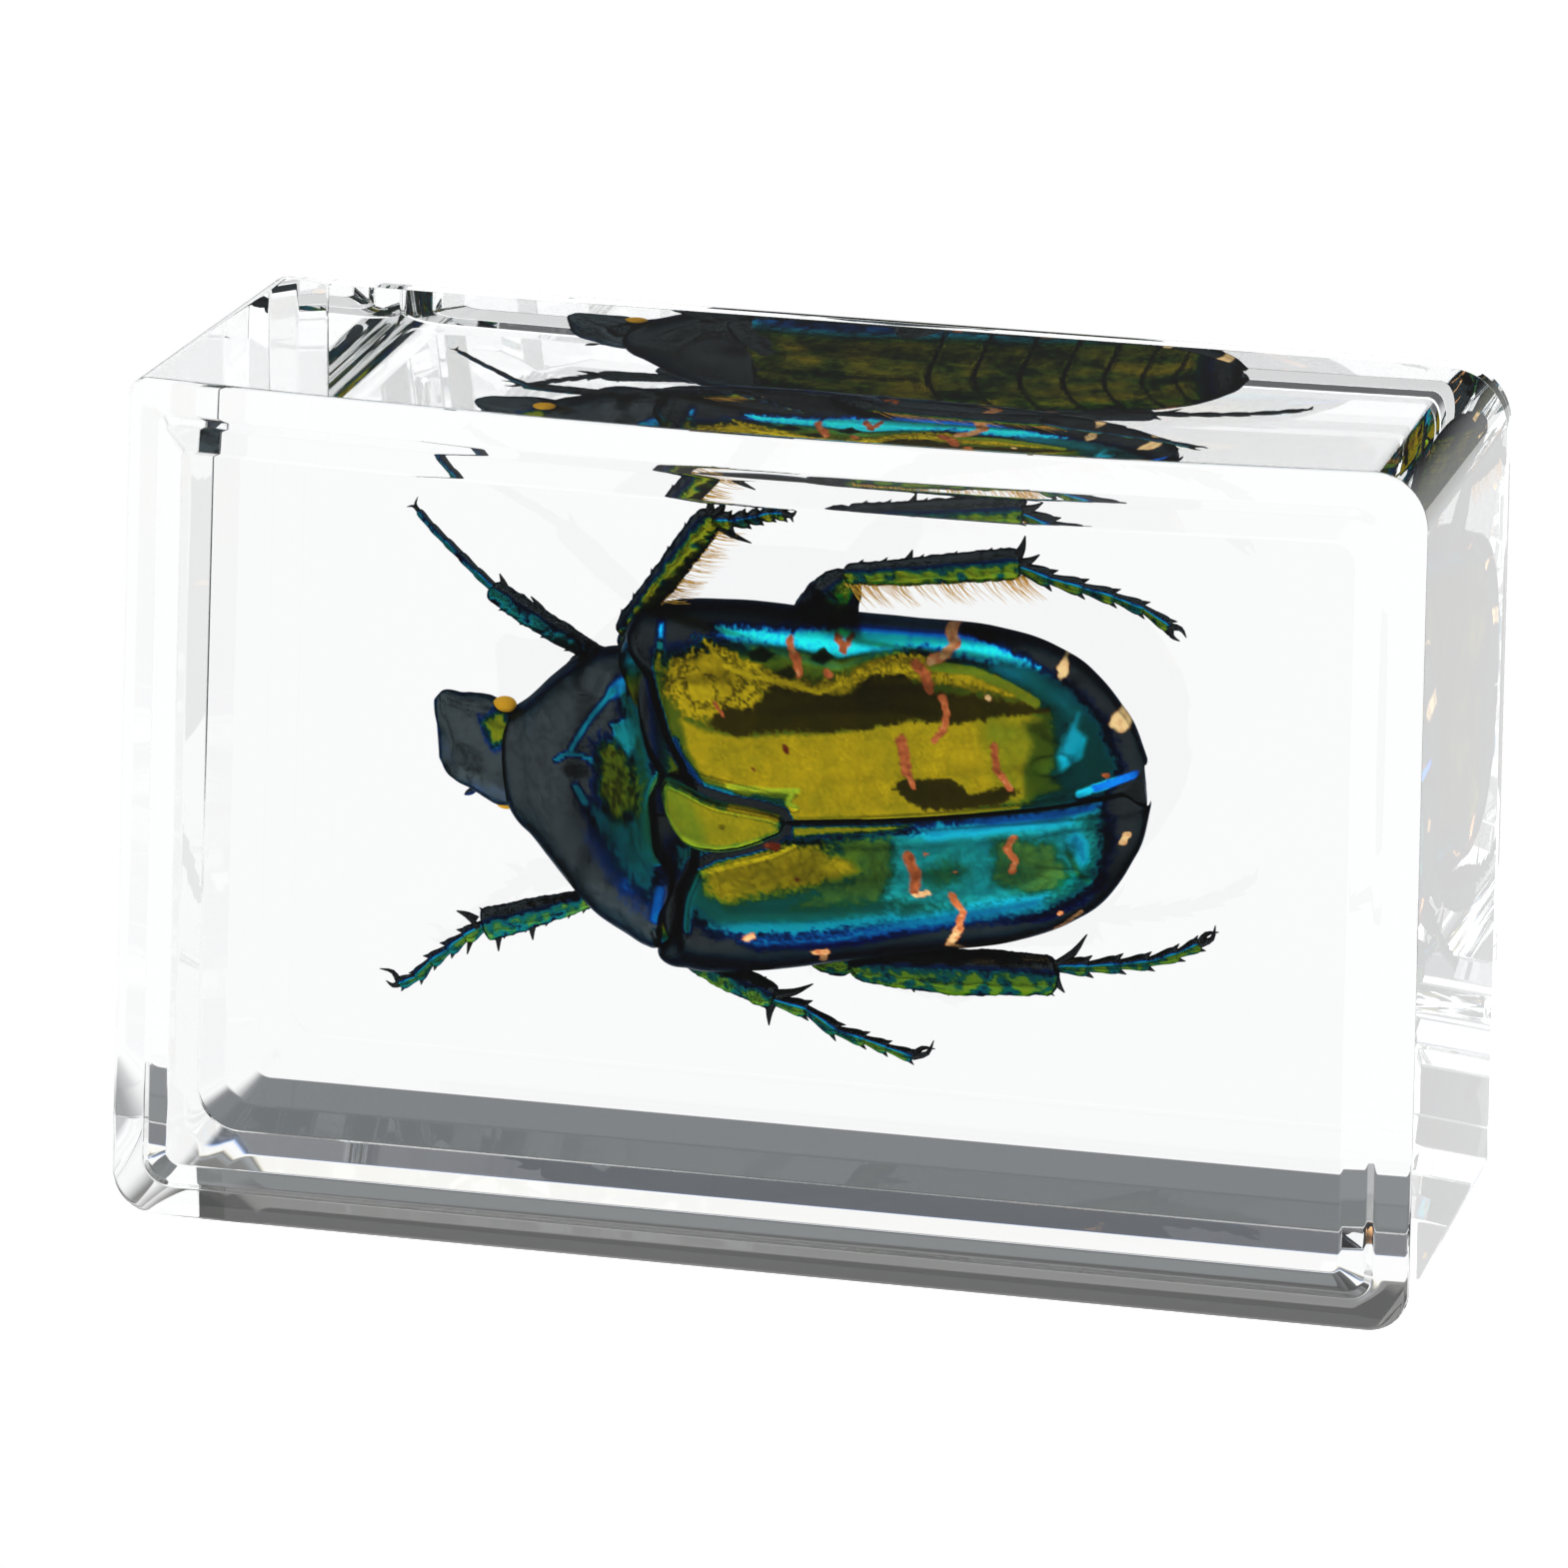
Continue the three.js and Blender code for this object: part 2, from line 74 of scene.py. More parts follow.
# The stepped bevel, as inset and depth from the outer edge inwards, with small rounds between.
FRONT_BEVEL = [(0.0, 0.0), (1.15, 0.17), (1.4, 0.45), (2.15, 0.88)]
BACK_BEVEL = [(0.0, 0.0), (0.9, 0.44), (1.9, 0.74)]
FRONT_EDGE_ROUND, BACK_EDGE_ROUND = 0.14, 0.05
CREASE_ROUND = 0.06

# ---- The beetle's own frame ----

BEETLE_AT = np.array([-5.4, 3.4, 14.5])
TILT = math.radians(5.2)
ROLL = math.radians(10.0)
ALONG = np.array([math.cos(TILT), 0.0, math.sin(TILT)])
SIDEWAYS = np.array([-math.sin(TILT), 0.0, math.cos(TILT)])
TO_VIEWER = np.array([0.0, -1.0, 0.0])
ACROSS = SIDEWAYS * math.cos(ROLL) + TO_VIEWER * math.sin(ROLL)
RISE = TO_VIEWER * math.cos(ROLL) - SIDEWAYS * math.sin(ROLL)

# Sections: along, half width, rise of the back, sink of the belly, shift of the middle.
HIND_BODY = [
    (-0.9, 4.6, 2.5, 2.6, 0.0), (-0.1, 6.1, 3.3, 3.3, 0.0), (0.9, 6.45, 3.6, 3.6, 0.0),
    (3.2, 6.5, 3.85, 3.8, 0.0), (6.2, 6.15, 3.9, 3.7, 0.0), (9.4, 5.8, 3.65, 3.4, 0.0),
    (12.2, 5.5, 3.1, 2.9, 0.0), (14.2, 4.85, 2.5, 2.3, 0.0), (15.4, 4.05, 1.9, 1.7, 0.0),
    (16.3, 2.85, 1.25, 1.2, 0.0), (16.8, 1.9, 0.8, 0.8, 0.0), (17.1, 0.8, 0.35, 0.4, 0.0),
]
PRONOTUM = [
    (-5.1, 1.45, 0.9, 1.3, 1.0), (-4.8, 1.85, 1.4, 1.8, 0.85), (-4.2, 2.35, 1.9, 2.3, 0.7),
    (-3.2, 3.5, 2.6, 2.9, 0.4), (-2.3, 4.4, 3.05, 3.3, 0.1), (-1.3, 4.95, 3.35, 3.5, -0.1),
    (-0.4, 5.2, 3.5, 3.6, -0.35), (0.3, 5.15, 3.5, 3.5, -0.45), (0.6, 4.9, 3.2, 3.2, -0.45),
]
HEAD = [
    (-7.3, 1.1, 0.35, 0.3, 2.15), (-7.1, 1.4, 0.6, 0.6, 2.05), (-6.3, 1.7, 0.95, 1.1, 1.7),
    (-5.5, 1.9, 1.15, 1.4, 1.4), (-4.6, 1.75, 1.1, 1.4, 1.1),
]
ROUNDNESS = 2.4  # exponent of a section: 2 is an ellipse, more is boxier


# ---- Small helpers ----

def curve_through(places, values):
    """A smooth function that passes through each place and value."""
    x = np.array(places, float)
    y = np.array(values, float)
    slope = np.gradient(y, x)

    def value_at(at):
        at = np.clip(at, x[0], x[-1])
        i = np.clip(np.searchsorted(x, at) - 1, 0, len(x) - 2)
        width = x[i + 1] - x[i]
        t = (at - x[i]) / width
        start = (1 + 2 * t) * (1 - t) ** 2 * y[i] + t * (1 - t) ** 2 * width * slope[i]
        end = t * t * (3 - 2 * t) * y[i + 1] + t * t * (t - 1) * width * slope[i + 1]
        return start + end

    return value_at


def smoothstep(low, high, value):
    """A share that rises smoothly from 0 at low to 1 at high."""
    t = np.clip((value - low) / (high - low), 0.0, 1.0)
    return t * t * (3 - 2 * t)


def paint(red, green, blue):
    """A colour from 0 to 255 a channel, as the linear values that a shader takes."""
    channels = [c / 255 for c in (red, green, blue)]
    linear = [c / 12.92 if c <= 0.04045 else ((c + 0.055) / 1.055) ** 2.4 for c in channels]
    return (*linear, 1.0)


def wander(points, size, seed):
    """Soft noise between about -1 and 1 at each point, with features of about that size."""
    flat = np.asarray(points, float).reshape(-1, 3) / size + seed * 17.3
    values = [noise.noise(p) + 0.5 * noise.noise([2.1 * c for c in p]) for p in flat.tolist()]
    return np.array(values).reshape(np.shape(points)[:-1])


def in_block(body_points):
    """Turns (along, across, rise) into the block's x, y and z."""
    p = np.asarray(body_points, float)
    return BEETLE_AT + p[..., 0:1] * ALONG + p[..., 1:2] * ACROSS + p[..., 2:3] * RISE


def distance_to_line(flat_points, line):
    """How far each 2-D point is from a bent line."""
    best = np.full(flat_points.shape[:-1], 1e9)
    for start, end in zip(line[:-1], line[1:]):
        start = np.array(start, float)
        stretch = np.array(end, float) - start
        share = ((flat_points - start) @ stretch) / max(stretch @ stretch, 1e-9)
        nearest = start + np.clip(share, 0, 1)[..., None] * stretch
        best = np.minimum(best, np.linalg.norm(flat_points - nearest, axis=-1))
    return best


def depth_in_outline(flat_points, outline):
    """Distance from the outline of a closed shape, above zero inside it."""
    x = flat_points[..., 0]
    y = flat_points[..., 1]
    inside = np.zeros(x.shape, bool)
    closed = list(outline) + [outline[0]]
    for (x1, y1), (x2, y2) in zip(closed[:-1], closed[1:]):
        if y1 != y2:
            crosses = (y1 > y) != (y2 > y)
            inside ^= crosses & (x < (x2 - x1) * (y - y1) / (y2 - y1) + x1)
    distance = distance_to_line(flat_points, closed)
    return np.where(inside, distance, -distance)


# ---- Meshes ----

def signed_volume(points, faces):
    """Six times the volume that the faces enclose, below zero if they face inwards."""
    corners = [(face[0], face[k], face[k + 1]) for face in faces for k in range(1, len(face) - 1)]
    a, b, c = (points[list(column)] for column in zip(*corners))
    return float(np.einsum("ij,ij->", a, np.cross(b, c)))


class Skin:
    """Gathers points, faces and point values of one piece, in millimetres."""

    def __init__(self):
        self.points = []
        self.faces = []
        self.values = {}

    def add(self, points, faces, **values):
        """Adds one closed surface, turned to face outwards, with its values for each point."""
        points = np.asarray(points, float).reshape(-1, 3)
        before = sum(len(p) for p in self.points)
        if signed_volume(points, faces) < 0:
            faces = [tuple(reversed(face)) for face in faces]
        self.points.append(points)
        self.faces += [tuple(int(i) + before for i in face) for face in faces]
        for name, value in values.items():
            column = np.broadcast_to(np.asarray(value, float).reshape(-1), (len(points),))
            self.values.setdefault(name, []).append((before, column))
        return self

    def make(self, name, material, smooth_angle=40.0):
        """Turns what was gathered into a piece; edges sharper than the angle stay sharp."""
        points = np.concatenate(self.points)
        mesh = bpy.data.meshes.new(name)
        mesh.from_pydata((points * MM).tolist(), [], self.faces)
        mesh.validate()
        for value_name, parts in self.values.items():
            full = np.zeros(len(points), np.float32)
            for start, column in parts:
                full[start:start + len(column)] = column
            attribute = mesh.attributes.new(value_name, "FLOAT", "POINT")
            attribute.data.foreach_set("value", full)
        mesh.polygons.foreach_set("use_smooth", [True] * len(mesh.polygons))
        mesh.set_sharp_from_angle(angle=math.radians(smooth_angle))
        mesh.materials.append(material)
        piece = bpy.data.objects.new(name, mesh)
        bpy.context.scene.collection.objects.link(piece)
        return piece


def tube_faces(rings, around, first_cap=True, last_cap=True):
    """Faces of a closed tube of rings, whose points run ring by ring."""
    faces = []
    for r in range(rings - 1):
        for i in range(around):
            j = (i + 1) % around
            faces.append((r * around + i, r * around + j, (r + 1) * around + j, (r + 1) * around + i))
    if first_cap:
        faces.append(tuple(range(around - 1, -1, -1)))
    if last_cap:
        faces.append(tuple((rings - 1) * around + i for i in range(around)))
    return faces


def shell_faces(rows, columns):
    """Faces of a closed shell between an outer and an inner sheet of rows by columns points."""
    inner = rows * columns
    faces = []
    for r in range(rows - 1):
        for c in range(columns - 1):
            a = r * columns + c
            b, d, e = a + 1, a + columns, a + columns + 1
            faces.append((a, b, e, d))
            faces.append((inner + a, inner + d, inner + e, inner + b))
    rim = [c for c in range(columns)]
    rim += [r * columns + columns - 1 for r in range(1, rows)]
    rim += [(rows - 1) * columns + c for c in range(columns - 2, -1, -1)]
    rim += [r * columns for r in range(rows - 2, 0, -1)]
    for a, b in zip(rim, rim[1:] + rim[:1]):
        faces.append((a, inner + a, inner + b, b))
    return faces


def sheet_normals(sheet):
    """Unit normals of a sheet of rows by columns points."""
    down = np.gradient(sheet, axis=0)
    over = np.gradient(sheet, axis=1)
    normal = np.cross(down, over)
    length = np.linalg.norm(normal, axis=-1, keepdims=True)
    return normal / np.maximum(length, 1e-9)


def pushed_out(sheet, height):
    """The sheet of a body part, with each point moved outwards by its height."""
    normal = sheet_normals(sheet)
    outward = 1.0 if normal[len(sheet) // 2, 0, 2] > 0 else -1.0
    return sheet + normal * (outward * height)[..., None]


# ---- Materials ----

WHITE = (1.0, 1.0, 1.0, 1.0)


def new_material(name):
    material = bpy.data.materials.new(name)
    material.use_nodes = True
    return material, material.node_tree.nodes, material.node_tree.links


def set_inputs(made, values):
    """Gives inputs of a node their plain values, by name."""
    for socket, value in values.items():
        made.inputs[socket].default_value = value


def node(nodes, kind, inputs=None, **settings):
    """A new node with its settings, and the plain values of some of its inputs."""
    made = nodes.new(kind)
    for key, value in settings.items():
        setattr(made, key, value)
    set_inputs(made, inputs or {})
    return made


def point_value(nodes, name):
    """The value that a piece's points carry under this name."""
    made = node(nodes, "ShaderNodeAttribute", attribute_type="GEOMETRY", attribute_name=name)
    return made.outputs["Fac"]


def colour_on_ramp(nodes, links, value, stops):
    """The colour that a value has on a ramp with a stop at each position."""
    made = node(nodes, "ShaderNodeValToRGB")
    elements = made.color_ramp.elements
    while len(elements) > 1:
        elements.remove(elements[-1])
    elements[0].position, elements[0].color = stops[0]
    for position, colour in stops[1:]:
        elements.new(position).color = colour
    links.new(value, made.inputs["Fac"])
    return made.outputs["Color"]


def mixed_colour(nodes, links, share, first, second):
    """A mix of two colours, each a node's output or a plain colour."""
    mix = node(nodes, "ShaderNodeMix", data_type="RGBA")
    links.new(share, mix.inputs["Factor"])
    for socket, colour in (("A", first), ("B", second)):
        if isinstance(colour, tuple):
            mix.inputs[socket].default_value = colour
        else:
            links.new(colour, mix.inputs[socket])
    return mix.outputs["Result"]


def roughen(nodes, links, shader, texture, output, strength, depth):
    """Bumps a shader by a texture that is fixed to the piece; depth is in metres."""
    place = node(nodes, "ShaderNodeTexCoord")
    links.new(place.outputs["Object"], texture.inputs["Vector"])
    bump = node(nodes, "ShaderNodeBump", {"Strength": strength, "Distance": depth})
    links.new(texture.outputs[output], bump.inputs["Height"])
    links.new(bump.outputs["Normal"], shader.inputs["Normal"])


# The shell's hues, in the order in which its metal sheen runs through them.
SHELL_HUES = [
    (0.00, paint(45, 50, 52)),
    (0.10, paint(44, 53, 56)),
    (0.24, paint(2, 46, 112)),
    (0.36, paint(6, 104, 200)),
    (0.48, paint(20, 192, 226)),
    (0.58, paint(16, 138, 140)),
    (0.68, paint(20, 96, 62)),
    (0.76, paint(96, 138, 32)),
    (0.84, paint(140, 138, 18)),
    (0.92, paint(172, 150, 16)),
    (1.00, paint(230, 206, 26)),
]
MARK_HUES = [(0.0, paint(92, 30, 12)), (0.5, paint(196, 106, 58)), (1.0, paint(250, 214, 150))]
GRAZING_SHEEN = (0.25, 0.3, 0.35, 1.0)
PITS_PER_METRE, PIT_DETAIL, PIT_STRENGTH = 2600, 3, 0.25
FACETS_PER_METRE, FACET_DEPTH, FACET_STRENGTH = 14000, 0.02, 0.3


def shell_material(settings):
    """Metallic insect shell: hue and light come from the piece, the light being painted reflections and
    highlights, and marks lie over them.
    """
    material, nodes, links = new_material("beetle_shell")
    shader = nodes["Principled BSDF"]
    set_inputs(shader, {"Metallic": settings.metallic, "Roughness": settings.roughness,
                        "Specular Tint": GRAZING_SHEEN})
    metal = colour_on_ramp(nodes, links, point_value(nodes, "hue"), SHELL_HUES)
    lit = node(nodes, "ShaderNodeVectorMath", operation="SCALE")
    links.new(metal, lit.inputs[0])
    links.new(point_value(nodes, "light"), lit.inputs["Scale"])
    bared = colour_on_ramp(nodes, links, point_value(nodes, "mark_hue"), MARK_HUES)
    colour = mixed_colour(nodes, links, point_value(nodes, "mark"), lit.outputs["Vector"], bared)
    links.new(colour, shader.inputs["Base Color"])
    pits = node(nodes, "ShaderNodeTexNoise", {"Scale": PITS_PER_METRE, "Detail": PIT_DETAIL})
    roughen(nodes, links, shader, pits, "Fac", PIT_STRENGTH, settings.grain)
    return material


def eye_material(settings):
    """Dull amber with fine facets."""
    material, nodes, links = new_material("amber_eye")
    shader = nodes["Principled BSDF"]
    set_inputs(shader, {"Base Color": settings.eye_colour, "Roughness": 0.5, "Specular IOR Level": 0.1})
    facets = node(nodes, "ShaderNodeTexVoronoi", {"Scale": FACETS_PER_METRE})
    roughen(nodes, links, shader, facets, "Distance", FACET_STRENGTH, FACET_DEPTH * MM)
    return material


def hair_material(settings):
    """Dull, light amber."""
    material, nodes, _ = new_material("amber_hair")
    set_inputs(nodes["Principled BSDF"], {
        "Base Color": settings.hair_colour, "Roughness": 0.6, "Specular IOR Level": 0.0})
    return material


def resin_material(settings):
    """Clear resin with a faint, even tint."""
    material, nodes, links = new_material("clear_resin")
    set_inputs(nodes["Principled BSDF"], {
        "Base Color": WHITE, "Roughness": 0.0, "IOR": settings.refraction, "Transmission Weight": 1.0})
    tint = node(nodes, "ShaderNodeVolumeAbsorption",
                {"Color": settings.tint, "Density": settings.density})
    links.new(tint.outputs["Volume"], nodes["Material Output"].inputs["Volume"])
    return material


# ---- Settings ----

class ResinSettings(bpy.types.PropertyGroup):
    height: bpy.props.FloatProperty(
        name="Height", description="From the base to the top face",
        default=(BLOCK_HIGH[2] - BLOCK_LOW[2]) * MM, unit="LENGTH")
    thickness: bpy.props.FloatProperty(
        name="Thickness", description="From the flat front face to the flat back face",
        default=(BLOCK_HIGH[1] - BLOCK_LOW[1]) * MM, unit="LENGTH")
    refraction: bpy.props.FloatProperty(
        name="Refraction", description="Refractive index of the cast resin", default=1.52)
    density: bpy.props.FloatProperty(
        name="Tint depth", description="How fast the resin takes up light", default=4.0)
    tint: bpy.props.FloatVectorProperty(
        name="Tint", description="Colour that the resin lets through", size=4,
        subtype="COLOR", default=(0.86, 0.93, 0.95, 1.0), min=0, max=1)


class StageSettings(bpy.types.PropertyGroup):
    azimuth: bpy.props.FloatProperty(
        name="Azimuth", description="Camera's turn round the block from straight in front",
        default=math.radians(13.0), subtype="ANGLE")
    elevation: bpy.props.FloatProperty(
        name="Elevation", description="Camera's angle above the table",
        default=math.radians(15.09), subtype="ANGLE")
    roll: bpy.props.FloatProperty(
        name="Roll", description="Camera's turn about its own axis",
        default=math.radians(1.37), subtype="ANGLE")
    distance: bpy.props.FloatProperty(
        name="Distance", description="From the camera to the point that it looks at",
        default=328.5 * MM, unit="LENGTH")
    lens: bpy.props.FloatProperty(
        name="Lens", description="Focal length in millimetres on a 36 mm sensor",
        default=223.36, subtype="DISTANCE_CAMERA")


# ---- The stage ----

CAMERA_TARGET = (-1.13, 0.0, 14.63)
SENSOR_WIDTH = 36.0
NEAREST_SEEN = 10.0
TABLE_HALF_SIDE = 1500.0
TABLE_HEIGHT, SHEET_HEIGHT = -0.04, -0.02  # both just under the block's base
SHEET_LIGHT = 1.6
REFLECTED_CARDS = [  # name, middle, half width, half height, light
    ("dim_card", (-24, -100, -13), 41, 34, 0.12),  # keeps the front face clear of white glare
    ("bright_card", (44, 94, -12), 28, 32, 1.5),  # lights the right end face
]
LIGHT_BOUNCES, GLOSSY_BOUNCES = 32, 24

# Light of the studio behind the block, by degrees above the horizon, as red, green and blue.
STUDIO_BANDS = [
    (-90, (0.95, 0.95, 0.95)), (-66, (0.95, 0.95, 0.95)),
    (-60, (0.62, 0.7, 0.74)), (-48, (0.62, 0.7, 0.74)),
    (-42, (1.0, 1.0, 1.0)), (-12.3, (1.0, 1.0, 1.0)),
    (-10.4, (0.2, 0.21, 0.22)), (3, (0.16, 0.175, 0.18)),
    (10, (0.05, 0.05, 0.05)), (17, (0.05, 0.05, 0.05)),
    (18.5, (0.22, 0.22, 0.21)), (24.5, (0.25, 0.25, 0.25)),
    (26.4, (0.4, 0.42, 0.44)), (27.6, (0.22, 0.22, 0.2)), (28.6, (1.0, 0.96, 0.84)),
    (29.6, (1.05, 1.05, 1.05)), (33.5, (1.05, 1.05, 1.05)),
    (34.5, (0.45, 0.62, 1.0)), (35.5, (0.14, 0.18, 0.26)),
    (40, (0.17, 0.18, 0.2)), (66, (0.2, 0.2, 0.2)),
    (78, (1.2, 1.2, 1.2)), (90, (1.3, 1.3, 1.3)),
]
OPEN_SIDE_BANDS = [  # the same for the open side of the studio, in front of the block
    (-90, (1.0, 1.0, 1.0)), (40, (1.0, 1.0, 1.0)), (46, (0.2, 0.2, 0.2)), (68, (0.2, 0.2, 0.2)),
    (78, (1.2, 1.2, 1.2)), (90, (1.3, 1.3, 1.3)),
]
BRIGHTEST = 1.3  # the strongest light in the bands, which the world's strength brings back
# The bands stand behind the block, turned from straight behind by the first angle, and reach the
# second to each side. Plain white walls follow, and past the third the open side begins.
BANDS_TURN, BANDS_REACH, WALLS_REACH = math.radians(13), math.radians(20), math.radians(120)
SOFT_EDGE = math.radians(15)


def stage_camera(settings):
    """The camera, turned round its target and then about its own axis."""
    azimuth, elevation, roll = settings.azimuth, settings.elevation, settings.roll
    back = Vector((math.sin(azimuth) * math.cos(elevation),
                   -math.cos(azimuth) * math.cos(elevation), math.sin(elevation)))
    level = Vector((math.cos(azimuth), math.sin(azimuth), 0.0))
    upright = back.cross(level)
    right = level * math.cos(roll) + upright * math.sin(roll)
    up = upright * math.cos(roll) - level * math.sin(roll)
    data = bpy.data.cameras.new("camera")
    data.lens = settings.lens
    data.sensor_width = SENSOR_WIDTH
    data.clip_start = NEAREST_SEEN * MM
    camera = bpy.data.objects.new("camera", data)
    bpy.context.scene.collection.objects.link(camera)
    camera.matrix_world = Matrix((right, up, back)).transposed().to_4x4()
    camera.location = Vector(CAMERA_TARGET) * MM + back * settings.distance
    bpy.context.scene.camera = camera


def glowing_sheet(name, half_length, half_depth, height, strength=1.0):
    """A level sheet that shines evenly, for the stage only."""
    mesh = bpy.data.meshes.new(name)
    x, y = half_length * MM, half_depth * MM
    mesh.from_pydata([(-x, -y, 0), (x, -y, 0), (x, y, 0), (-x, y, 0)], [], [(0, 1, 2, 3)])
    material, nodes, links = new_material(name + "_glow")
    glow = node(nodes, "ShaderNodeEmission", {"Color": WHITE, "Strength": strength})
    links.new(glow.outputs["Emission"], nodes["Material Output"].inputs["Surface"])
    mesh.materials.append(material)
    sheet = bpy.data.objects.new(name, mesh)
    sheet.location.z = height * MM
    bpy.context.scene.collection.objects.link(sheet)
    return sheet


def reflected_card(name, middle, half_width, half_height, strength):
    """An upright card of the studio that shows only as a reflection."""
    card = glowing_sheet(name, half_width, half_height, middle[2], strength)
    card.location.x, card.location.y = middle[0] * MM, middle[1] * MM
    card.rotation_euler.x = math.pi / 2
    card.visible_camera = False
    card.visible_diffuse = False
    card.visible_transmission = False
    card.visible_shadow = False


def studio_table():
    """The pale table; rays that the resin bends see the studio's bands instead of it."""
    table = glowing_sheet("table", TABLE_HALF_SIDE, TABLE_HALF_SIDE, TABLE_HEIGHT)
    table.visible_transmission = False
    table.visible_glossy = False
    glowing_sheet("sheet_under_block", BLOCK_LENGTH / 2, BLOCK_HIGH[1], SHEET_HEIGHT, SHEET_LIGHT)
    for card in REFLECTED_CARDS:
        reflected_card(*card)


def sum_node(nodes, links, operation, *values):
    """The result of a math node on values that are each a node's output or a number."""
    made = node(nodes, "ShaderNodeMath", operation=operation)
    for socket, value in zip(made.inputs, values):
        if isinstance(value, float):
            socket.default_value = value
        else:
            links.new(value, socket)
    return made.outputs["Value"]


def share_between(nodes, links, value, low, high, **settings):
    """A share from 0 to 1 as the value passes from low to high."""
    share = node(nodes, "ShaderNodeMapRange", {"From Min": low, "From Max": high}, **settings)
    links.new(value, share.inputs["Value"])
    return share.outputs["Result"]


def band_stops(bands):
    """A ramp's stops from the nadir to the zenith, with the brightest light as 1."""
    return [((degrees + 90) / 180, tuple(c / BRIGHTEST for c in light) + (1.0,))
            for degrees, light in bands]


def studio_world():
    """Soft panels in level bands: a bright table, a dim horizon, a lit backdrop, a lamp above."""
    world = bpy.data.worlds.new("studio")
    world.use_nodes = True
    nodes, links = world.node_tree.nodes, world.node_tree.links
    direction = node(nodes, "ShaderNodeTexCoord")
    split = node(nodes, "ShaderNodeSeparateXYZ")
    links.new(direction.outputs["Generated"], split.inputs["Vector"])
    x, y, z = (split.outputs[axis] for axis in "XYZ")

    height = sum_node(nodes, links, "ARCSINE", z)
    level = share_between(nodes, links, height, -math.pi / 2, math.pi / 2)
    behind = colour_on_ramp(nodes, links, level, band_stops(STUDIO_BANDS))
    in_front = colour_on_ramp(nodes, links, level, band_stops(OPEN_SIDE_BANDS))

    azimuth = sum_node(nodes, links, "ARCTAN2", x, y)
    turned = sum_node(nodes, links, "ADD", azimuth, BANDS_TURN)
    aside = sum_node(nodes, links, "ABSOLUTE", turned)
    past_bands, past_walls = (
        share_between(nodes, links, aside, reach, reach + SOFT_EDGE, interpolation_type="SMOOTHSTEP")
        for reach in (BANDS_REACH, WALLS_REACH))
    wall = (1 / BRIGHTEST, 1 / BRIGHTEST, 1 / BRIGHTEST, 1.0)
    round_sides = mixed_colour(nodes, links, past_walls, wall, in_front)
    all_round = mixed_colour(nodes, links, past_bands, behind, round_sides)
    links.new(all_round, nodes["Background"].inputs["Color"])
    nodes["Background"].inputs["Strength"].default_value = BRIGHTEST
    bpy.context.scene.world = world


class SPECIMEN_OT_stage(bpy.types.Operator):
    """Make the pale table, the soft studio round it and the camera"""
    bl_idname = "specimen.stage"
    bl_label = "Stage"

    def execute(self, context):
        scene = context.scene
        stage_camera(scene.specimen_stage)
        studio_table()
        studio_world()
        scene.view_settings.view_transform = "Standard"
        scene.cycles.max_bounces = LIGHT_BOUNCES
        scene.cycles.transmission_bounces = LIGHT_BOUNCES
        scene.cycles.glossy_bounces = GLOSSY_BOUNCES
        return {"FINISHED"}


# ---- The resin block ----

FLAT_GUARD, CORNER_GUARD = 0.02, 0.05  # how far past a curve a point keeps the next stretch flat
BEVEL_CURVE_STEPS = 7
LEAST_CORNER_RADIUS = 0.25
SMOOTH_EDGE_ANGLE = 13.0


def rounded(corners, radii, steps):
    """A bent line with each inner corner turned into a short curve.

    A point just before and after each curve keeps the stretches between them truly flat.
    """
    points = [np.array(corners[0], float)]
    for before, corner, after, radius in zip(corners[:-2], corners[1:-1], corners[2:], radii):
        corner = np.array(corner, float)
        to_before = np.array(before, float) - corner
        to_after = np.array(after, float) - corner
        to_before /= np.linalg.norm(to_before)
        to_after /= np.linalg.norm(to_after)
        start = corner + to_before * radius
        end = corner + to_after * radius
        points.append(start + to_before * FLAT_GUARD)
        for k in range(steps + 1):
            t = k / steps
            points.append((1 - t) ** 2 * start + 2 * t * (1 - t) * corner + t * t * end)
        points.append(end + to_after * FLAT_GUARD)
    return points


def bevel_steps(bevel, edge_round):
    """The bevel's profile from the side face inwards, as inset and depth."""
    side = (0.0, -1.0)
    face = (bevel[-1][0] + 1.0, bevel[-1][1])
    radii = [edge_round] + [CREASE_ROUND] * (len(bevel) - 1)
    return rounded([side, *bevel, face], radii, BEVEL_CURVE_STEPS)[1:]


def corner_radius(name, inset):
    """A corner's radius on an outline that is drawn in by inset."""
    return max(CORNER_RADII[name] - inset * 0.5, LEAST_CORNER_RADIUS)


